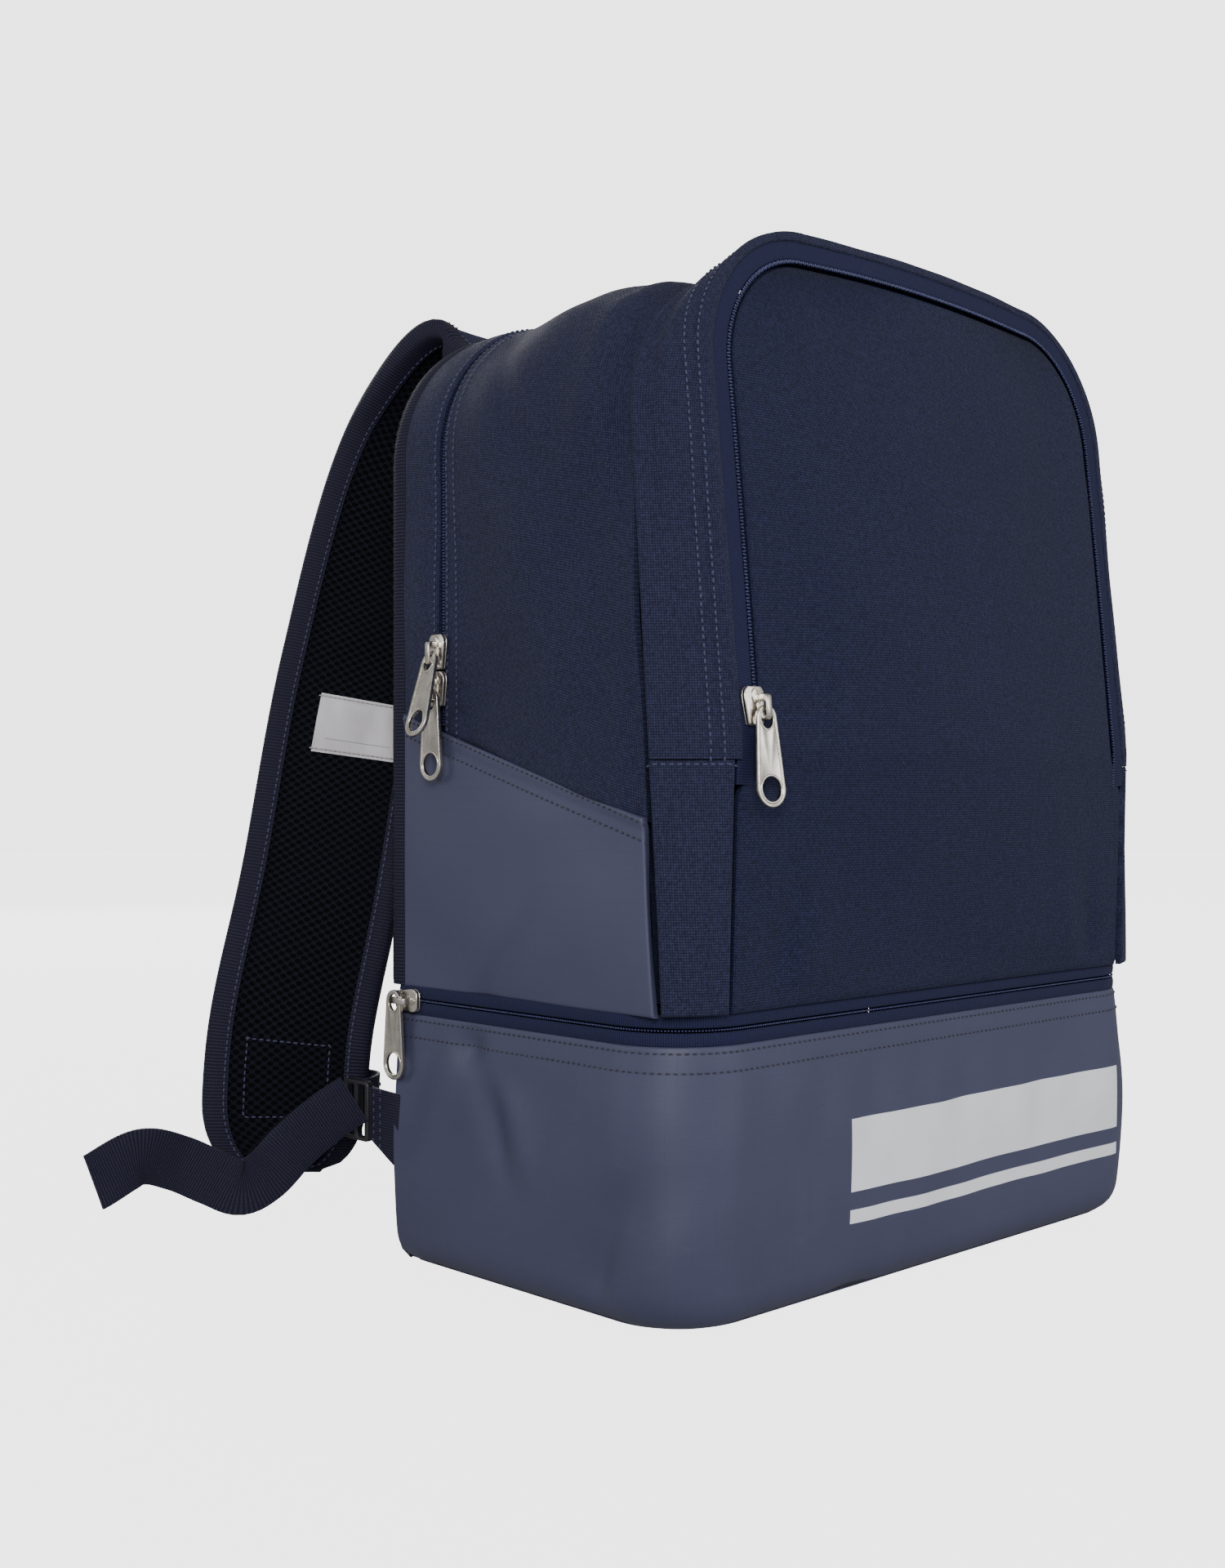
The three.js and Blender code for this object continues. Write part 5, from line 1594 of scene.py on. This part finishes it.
class BACKPACK_OT_back(BagOperator, bpy.types.Operator):
    """Make the padded back panel and the haul loop"""
    bl_idname = "backpack.back"
    bl_label = "Back panel"

    @staticmethod
    def half_at(z, inset):
        past = np.clip((z - (BODY_TOP - BODY_R)) / (BODY_R - inset), 0, 1)
        return HALF_WIDTH - BODY_R + (BODY_R - inset) * np.sqrt(1 - past ** 2)

    def make(self):
        top = BODY_TOP + BODY_CROWN

        def face(u, v):
            z0 = lerp(UPPER_BOTTOM, BODY_TOP, v)
            wide = self.half_at(z0, 0.0)
            x = lerp(-wide, wide, u)
            z = z0 + BODY_CROWN * 0.9 * smooth((z0 - 380) / 64) * (1 - (x / wide) ** 2)
            return xyz(x, REAR_Y + 2.4 + 0 * x, z)

        def relief(p, u, v):
            x, z = p[..., 0], p[..., 2]
            edge = np.minimum(self.half_at(np.minimum(z, BODY_TOP), 0) - np.abs(x), z - UPPER_BOTTOM)
            edge = np.minimum(edge, top - z)
            pad = 5.5 * smooth(edge / 22) - 1.0
            for centre, width in ((-58, 5), (58, 5)):
                pad = pad - 5.0 * bump_at(x, centre, width) * smooth((edge - 8) / 14)
            for level in (214, 300, 386):
                inner = smooth((58 - np.abs(x)) / 6)
                pad = pad - 3.6 * bump_at(z, level, 4.5) * inner
            return pad + 0.7 * ripple(p, 70, 111) * smooth(edge / 30)
        us, vs = edged(150, 356), 1 - (1 - np.linspace(0, 1, 131)) ** 1.3
        obj, p, n = panel("back_pad_mesh", face, us, vs, look("back_mesh"), "upper_bag", "air_mesh",
                          ("back_mesh_cover",), thick=2.2, relief=relief, way=(0, 1, 0))
        for distance in (9.0, -9.0):
            sew("upper_bag", row_at(p, n, 0, distance, span=(0.0, 1.0)))
        self.piping()
        self.loop()

    def piping(self):
        """A woven binding round the back panel's edge."""
        s = np.linspace(0, 1, 281)
        x, z = arch(s, HALF_WIDTH - 1.2, UPPER_BOTTOM, BODY_TOP - 0.8, BODY_R, BODY_CROWN)
        mid = xyz(x, 88.2, z)
        out = grid_normals(np.stack([mid, mid + (0, 1, 0)], 1), (0, 88, 240))[:, 0]
        a = np.linspace(0, 2 * PI, 17)[:-1]
        ring = mid[None] + out[None] * (np.sin(a) * 2.1)[:, None, None] \
            + np.array([0, 1, 0]) * (np.cos(a) * 4.6)[:, None, None]
        self.tube("back_binding", ring, "binding", "upper_bag", "binding")

    @staticmethod
    def tube(name, ring, finish, body, slot, replaces=(), caps=True):
        """A closed tube from rings of points; ring is (around, along, 3)."""
        around, along = ring.shape[:2]
        verts = ring.reshape(-1, 3)
        faces = []
        for i in range(around):
            j = (i + 1) % around
            for k in range(along - 1):
                faces.append((i * along + k, i * along + k + 1, j * along + k + 1, j * along + k))
        if caps:
            faces.append([i * along for i in range(around)])
            faces.append([i * along + along - 1 for i in range(around)][::-1])
        lu = arc_lengths(ring, 1)
        lv = arc_lengths(ring, 0)
        uvs = np.stack([lu, lv], -1).reshape(-1, 2)
        mesh = raw_mesh(name, verts, faces, uvs, math.radians(60))
        bm = bmesh.new()
        bm.from_mesh(mesh)
        bmesh.ops.recalc_face_normals(bm, faces=bm.faces)
        bm.to_mesh(mesh)
        bm.free()
        obj = link(name, mesh)
        return finish_piece(obj, look(finish), body, replaces)

    def loop(self):
        """The haul loop of rolled webbing, lying down against the back."""
        u = np.linspace(0, 1, 90)
        reach = 34 + 0 * u
        x = -reach * np.cos(PI * u)
        z = 442 - reach * np.sin(PI * u)
        mid = xyz(x, 96.6, z)
        mid[:, 1] += 1.6 * np.sin(PI * u)
        outward = xyz(x / 34, 0 * u, (z - 442) / 34)
        outward /= np.linalg.norm(outward, axis=1, keepdims=True)
        a = np.linspace(0, 2 * PI, 21)[:-1]
        fold = 0.55 + 0.45 * np.abs(np.cos(PI * u)) ** 2
        wide = 10.0 * fold
        thick = 1.5 + 1.6 * (1 - fold)
        ring = mid[None] + outward[None] * (np.sign(np.sin(a)) * np.abs(np.sin(a)) ** 0.6)[:, None, None] \
            * wide[None, :, None] + np.array([0, 1.0, 0]) \
            * (np.sign(np.cos(a)) * np.abs(np.cos(a)) ** 0.8)[:, None, None] * thick[None, :, None]
        self.tube("haul_loop_webbing", ring, "webbing", "haul_loop", "webbing", ("haul_loop",))


class BACKPACK_OT_straps(BagOperator, bpy.types.Operator):
    """Make the padded shoulder straps with their mesh, binding and webbing"""
    bl_idname = "backpack.straps"
    bl_label = "Shoulder straps"

    def make(self):
        for side, hand in (("left", -1), ("right", 1)):
            self.hand, self.side, self.body = hand, side, "strap_" + side
            self.flip = np.array([-hand, 1, 1], float)
            self.pad()
            self.face()
            self.binding()
            self.stitches()
            self.load_webbing()
            self.lock()
            self.tab()
        self.label()

    def at(self, s, q, h):
        return on_strap(s, q, h) * self.flip

    def called(self, piece):
        return "strap_%s_%s" % (piece, self.side)

    def pad(self):
        s = np.concatenate([np.linspace(0, STRAP_LEN - STRAP_FLAT_END, 110),
                            STRAP_LEN - STRAP_FLAT_END * (1 - np.linspace(0, 1, 24)[1:]) ** 1.6])
        a = np.linspace(0, 2 * PI, 49)[:-1]
        ring = []
        for angle in a:
            c, k = math.cos(angle), math.sin(angle)
            q = math.copysign(abs(c) ** 0.55, c)
            swell = 1 + 0.16 * (1 - q * q)
            h = math.copysign(abs(k) ** 0.7, k) * swell
            depth = 4.1 if k > 0 else 3.6
            ring.append(self.at(s, q * (half_strap(s) + 0.4), h * depth + 0 * s))
        ring = np.array(ring)
        wob = 0.35 * ripple(ring, 50, 121)
        mid = ring.mean(0, keepdims=True)
        out = ring - mid
        out /= np.linalg.norm(out, axis=-1, keepdims=True)
        ring = ring + out * wob[..., None]
        obj = BACKPACK_OT_back.tube(self.called("pad") + "_cloth", ring, "canvas", self.body, "woven",
                                    (self.called("pad"),))
        fill_pad(obj, self.outer_side)
        self.map_along(obj)

    def near_strap(self, points):
        """Where points in mm lie on the strap: nearest place, and mm along, across and out."""
        co = points * self.flip
        s = np.linspace(0, STRAP_LEN, 240)
        mid = on_strap(s, 0 * s, 0 * s)
        across = on_strap(s, 0 * s + 1, 0 * s) - mid
        out = on_strap(s, 0 * s, 0 * s + 1) - mid
        near = np.argmin(((co[:, None] - mid[None]) ** 2).sum(-1), 1)
        away = co - mid[near]
        along = s[near] + (away * strap_curve.tangent(s)[near]).sum(-1)
        return along, (away * across[near]).sum(-1), (away * out[near]).sum(-1)

    def outer_side(self, points):
        """1 on the cloth side of the pad, 0 on the mesh side and under the rim's tape."""
        along, side, out = self.near_strap(points)
        rim = np.abs(side) / (half_strap(np.clip(along, 0, STRAP_LEN)) + 0.4)
        return smooth((out - 0.5) / 2.0) * smooth((0.97 - rim) / 0.12)

    def map_along(self, obj):
        """A cloth map of metres along and across the strap, since the remesh drops the old one."""
        mesh = obj.data
        along, side, _ = self.near_strap(points_of(mesh) / MM)
        uv = np.stack([along, side], -1) * MM
        layer = mesh.uv_layers.get("Cloth") or mesh.uv_layers.new(name="Cloth")
        corner = np.empty(len(mesh.loops), int)
        mesh.loops.foreach_get("vertex_index", corner)
        layer.data.foreach_set("uv", uv[corner].ravel())

    def face(self):
        s = np.linspace(0.5, STRAP_LEN - 1.2, 200)
        k = np.linspace(-1, 1, 29)
        half = half_strap(s) - 1.0
        q = k[None] * half[:, None]
        h = -(5.6 + 1.3 * (1 - k ** 2))[None] + 0 * q
        p = on_strap(s[:, None] + 0 * q, q, h)
        h = h - 0.35 * ripple(p, 40, 131)
        p = on_strap(s[:, None] + 0 * q, q, h) * self.flip
        n = grid_normals(p, way=(on_strap(STRAP_LEN / 2, 0, -1) - on_strap(STRAP_LEN / 2, 0, 0)) * self.flip)
        obj = shell(self.called("mesh") + "_knit", p, n, 1.2)
        finish_piece(obj, look("mesh"), self.body, (self.called("mesh"),))
        self.face_p, self.face_n = p, n

    def outline(self, out, steps=150, wide=26):
        s = np.linspace(0, STRAP_LEN, steps)
        pts = [(a, -half_strap(a) - out) for a in s]
        end = float(half_strap(np.array(STRAP_LEN))) + out
        pts += [(STRAP_LEN + out * 0.6, lerp(-1, 1, i / wide) * end) for i in range(1, wide)]
        pts += [(a, half_strap(a) + out) for a in s[::-1]]
        top = STRAP_W / 2 + out
        pts += [(-out * 0.6, lerp(1, -1, i / wide) * top) for i in range(1, wide)]
        return np.array(pts)

    def binding(self):
        """A folded ribbed tape over the pad's edge, wider on the mesh side."""
        profile = [(-9.2, -7.3), (-6.0, -7.7), (-3.0, -7.8), (0.0, -7.6), (1.9, -6.6), (2.9, -4.4),
                   (3.2, -1.5), (3.1, 1.6), (2.3, 4.0), (0.6, 5.2), (-2.4, 5.6), (-6.2, 5.7),
                   (-8.8, 5.4)]
        outer = np.array([[on_strap(*self.outline(o).T, h + 0 * self.outline(o)[:, 0])]
                          for o, h in profile])[:, 0].swapaxes(0, 1) * self.flip
        inner_profile = [(o - (0.9 if 0 < i < len(profile) - 1 and o > 0 else 0.0),
                          h * (0.88 if o <= 0.7 else 0.97)) for i, (o, h) in enumerate(profile)]
        inner = np.array([[on_strap(*self.outline(o).T, h + 0 * self.outline(o)[:, 0])]
                          for o, h in inner_profile])[:, 0].swapaxes(0, 1) * self.flip
        way = outer - inner
        way /= np.maximum(np.linalg.norm(way, axis=-1, keepdims=True), 1e-6)
        obj = shell(self.called("binding") + "_tape", outer, way, 0.9, closed_u=True)
        finish_piece(obj, look("binding"), self.body, (self.called("binding"),))

    def stitches(self):
        for inset, h, turn in ((-7.4, -7.75, 1), (-7.2, 5.85, -1)):
            o = self.outline(inset)
            ring = on_strap(o[:, 0], o[:, 1], h + 0 * o[:, 0]) * self.flip
            ring = np.vstack([ring, ring[:1]])
            outs = on_strap(o[:, 0], o[:, 1], h - turn + 0 * o[:, 0]) * self.flip
            outs = np.vstack([outs, outs[:1]]) - ring
            sew(self.body, (ring, outs / np.linalg.norm(outs, axis=1, keepdims=True)))
        s0, s1, w = STRAP_LEN - 62, STRAP_LEN - 26, 20.0
        k = np.linspace(0, 1, 12)
        legs = [(lerp(s0, s1, k), -w + 0 * k), (s1 + 0 * k, lerp(-w, w, k)),
                (lerp(s1, s0, k), w + 0 * k), (s0 + 0 * k, lerp(w, -w, k))]
        s, q = (np.concatenate([leg[i] for leg in legs]) for i in (0, 1))
        p = self.at(s, q, -7.3 + 0 * s)
        outs = self.at(s, q, -8.3 + 0 * s) - p
        sew(self.body, (p, outs / np.linalg.norm(outs, axis=1, keepdims=True)))

    def load_webbing(self):
        s = STRAP_LEN - STRAP_FLAT_END
        edge, behind = STRAP_W / 2 + 1.5 + 2 + 3, STRAP_T / 2 + GAP + WEB_T
        start = np.array([-TAB_X - 1.0, LOCK_Y + LOCK_LONG + 6.4, LOCK_Z])
        pts = [start] + [on_strap(np.array(s), np.array(q), np.array(h)) for q, h in
                         ((edge, -9.0), (edge, 4.0), (edge - 8, behind + 2.6), (22.0, behind + 1.6),
                          (0.0, behind + 1.2))]
        curve = Smooth3D([tuple(p) for p in pts])
        middle = on_strap(np.array(s), np.array(12.0), np.array(-2.0))
        d = np.linspace(0, curve.length, 80)
        mid, t = curve.point(d), curve.tangent(d)
        across = np.cross(mid - middle, t)
        across /= np.linalg.norm(across, axis=1, keepdims=True)
        off = np.cross(t, across)
        q = np.linspace(-0.5, 0.5, 11) * (WEB_W - 2)
        face = mid[:, None] + across[:, None] * q[None, :, None]
        n = np.broadcast_to(off[:, None], face.shape)
        obj = shell(self.called("webbing") + "_web", (face + n * WEB_T / 2) * self.flip,
                    n * self.flip, WEB_T)
        finish_piece(obj, look("webbing"), self.body, (self.called("webbing"),))

    def plate(self, name, loops, x, thick, finish, slot, node, bevel=0.5):
        """A plate with its outline in Y and Z that stands from x towards the bag's side."""
        mesh = outline_mesh(loops, thick / 2, bevel)
        turn = Matrix(((0, 0, 1, x - thick / 2), (1, 0, 0, 0), (0, 1, 0, 0), (0, 0, 0, 1)))
        mirror = Matrix.Diagonal((-self.hand, 1, 1, 1))
        obj = merged(name, [mesh], mirror @ turn)
        return finish_piece(obj, look(finish), self.body, (node,))

    def lock(self):
        y0, z0, z1 = LOCK_Y, LOCK_Z - LOCK_W / 2, LOCK_Z + LOCK_W / 2

        def block(a, b, c, d, r=1.2):
            out = []
            for cx, cy, start in ((b - r, d - r, 0), (a + r, d - r, 90), (a + r, c + r, 180),
                                  (b - r, c + r, 270)):
                for k in range(5):
                    ang = math.radians(start + 22.5 * k)
                    out.append((cx + r * math.cos(ang), cy + r * math.sin(ang)))
            return out
        loops = [block(y0, y0 + LOCK_LONG, z0, z1, 2.4), block(y0 + 3, y0 + 8.5, z0 + 2.2, z1 - 2.2, 1.0),
                 block(y0 + 11.5, y0 + 17, z0 + 2.6, z1 - 2.6, 1.0)]
        self.plate(self.called("lock") + "_frame", loops, -TAB_X + 0.8, LOCK_T, "plastic",
                   "plastic", self.called("lock"), 0.8)

    def tab(self):
        (y0, y1), z = TAB_Y, LOCK_Z
        loops = [[(y0, z - 24.3), (y0 + 6, z - 21.6), (y1 - 0.8, z - 12.6), (y1, z - 11.8),
                  (y1, z + 11.8), (y1 - 0.8, z + 12.2), (y0 + 6, z + 11.5), (y0, z + 11.1)]]
        self.plate(self.called("tab") + "_cloth", loops, -TAB_X, TAB_T, "webbing_plain",
                   "webbing", self.called("tab"), 0.5)
        k = np.linspace(0, 1, 12)
        for dy in (4.0, 9.0):
            pts = xyz((TAB_X + 2.05) * self.hand + 0 * k, y1 - dy + 0 * k,
                      lerp(z - 10.5 - dy * 0.45, z + 10.5 + dy * 0.45, k))
            sew(self.body, (pts, xyz(self.hand + 0 * k, 0 * k, 0 * k)))

    def label(self):
        self.flip = np.array([1, 1, 1], float)
        s0, q0, long, wide = 245.0, 7.0, 31.0, 45.0
        u, v = np.meshgrid(edged(16, long), edged(20, wide), indexing="ij")
        s, q = s0 + (u - 0.5) * long, q0 + (v - 0.5) * wide
        near = np.minimum(np.minimum(u, 1 - u) * long, np.minimum(v, 1 - v) * wide)
        lift = 7.35 + 0.9 * smooth(near / 6)
        p = on_strap(s, q, -lift)
        lift = lift + 0.35 * ripple(p, 22, 141) * smooth(near / 5)
        p = on_strap(s, q, -lift)
        way = on_strap(STRAP_LEN / 2, 0, -1) - on_strap(STRAP_LEN / 2, 0, 0)
        n = grid_normals(p, way=way)
        obj = shell("name_label_satin", p, n, 0.35)
        finish_piece(obj, look("label"), "strap_left", ("name_label",))
        for d in (1.6, -1.6):
            sew("strap_left", row_at(p, n, 0, d), "thread_label")


class BACKPACK_OT_stitches(BagOperator, bpy.types.Operator):
    """Sew every row of stitches that the panels have asked for"""
    bl_idname = "backpack.stitches"
    bl_label = "Stitches"

    def make(self):
        pitch = sizes().stitch_pitch
        for (body, finish), rows in sorted(STITCHES.items()):
            slot = "coated" if finish == "thread_coated" else "label" if "label" in finish else "woven"
            bars_along("stitches_%s_%s" % (body, finish), rows, body, slot, finish,
                       pitch=pitch * (0.7 if "label" in finish else 1), length=pitch * 0.74,
                       width=0.9 * MM, height=0.75 * MM)
        STITCHES.clear()


class BACKPACK_OT_inner(BagOperator, bpy.types.Operator):
    """Give the hidden board and foam plates their finish"""
    bl_idname = "backpack.inner"
    bl_label = "Inner plates"

    def make(self):
        for node, finish in (("base_board", "board"), ("back_board", "board"), ("back_foam", "foam")):
            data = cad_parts[node].data
            if len(data.materials) == 0:
                data.materials.append(look(finish))
            for k in range(len(data.materials)):
                data.materials[k] = look(finish)


OPERATORS = (BACKPACK_OT_stage, BACKPACK_OT_tails, BACKPACK_OT_compartment, BACKPACK_OT_walls,
             BACKPACK_OT_pocket, BACKPACK_OT_zips, BACKPACK_OT_sliders, BACKPACK_OT_back,
             BACKPACK_OT_straps, BACKPACK_OT_inner, BACKPACK_OT_stitches)


class BACKPACK_PT_panel(bpy.types.Panel):
    """The backpack's pieces and settings"""
    bl_label = "Backpack"
    bl_idname = "BACKPACK_PT_panel"
    bl_space_type = "VIEW_3D"
    bl_region_type = "UI"
    bl_category = "Backpack"

    def draw(self, context):
        for group in (context.scene.backpack_sizes, context.scene.backpack_colours):
            box = self.layout.box()
            for key in group.__annotations__:
                box.prop(group, key)
        for operator in OPERATORS:
            self.layout.operator(operator.bl_idname)


CLASSES = (BackpackColours, BackpackSizes) + OPERATORS + (BACKPACK_PT_panel,)


def register():
    for cls in CLASSES:
        bpy.utils.register_class(cls)
    bpy.types.Scene.backpack_colours = PointerProperty(type=BackpackColours)
    bpy.types.Scene.backpack_sizes = PointerProperty(type=BackpackSizes)


def unregister():
    del bpy.types.Scene.backpack_sizes
    del bpy.types.Scene.backpack_colours
    for cls in reversed(CLASSES):
        bpy.utils.unregister_class(cls)


def main():
    register()
    for operator in OPERATORS:
        getattr(bpy.ops.backpack, operator.bl_idname.split(".")[1])()


if __name__ == "__main__":
    main()
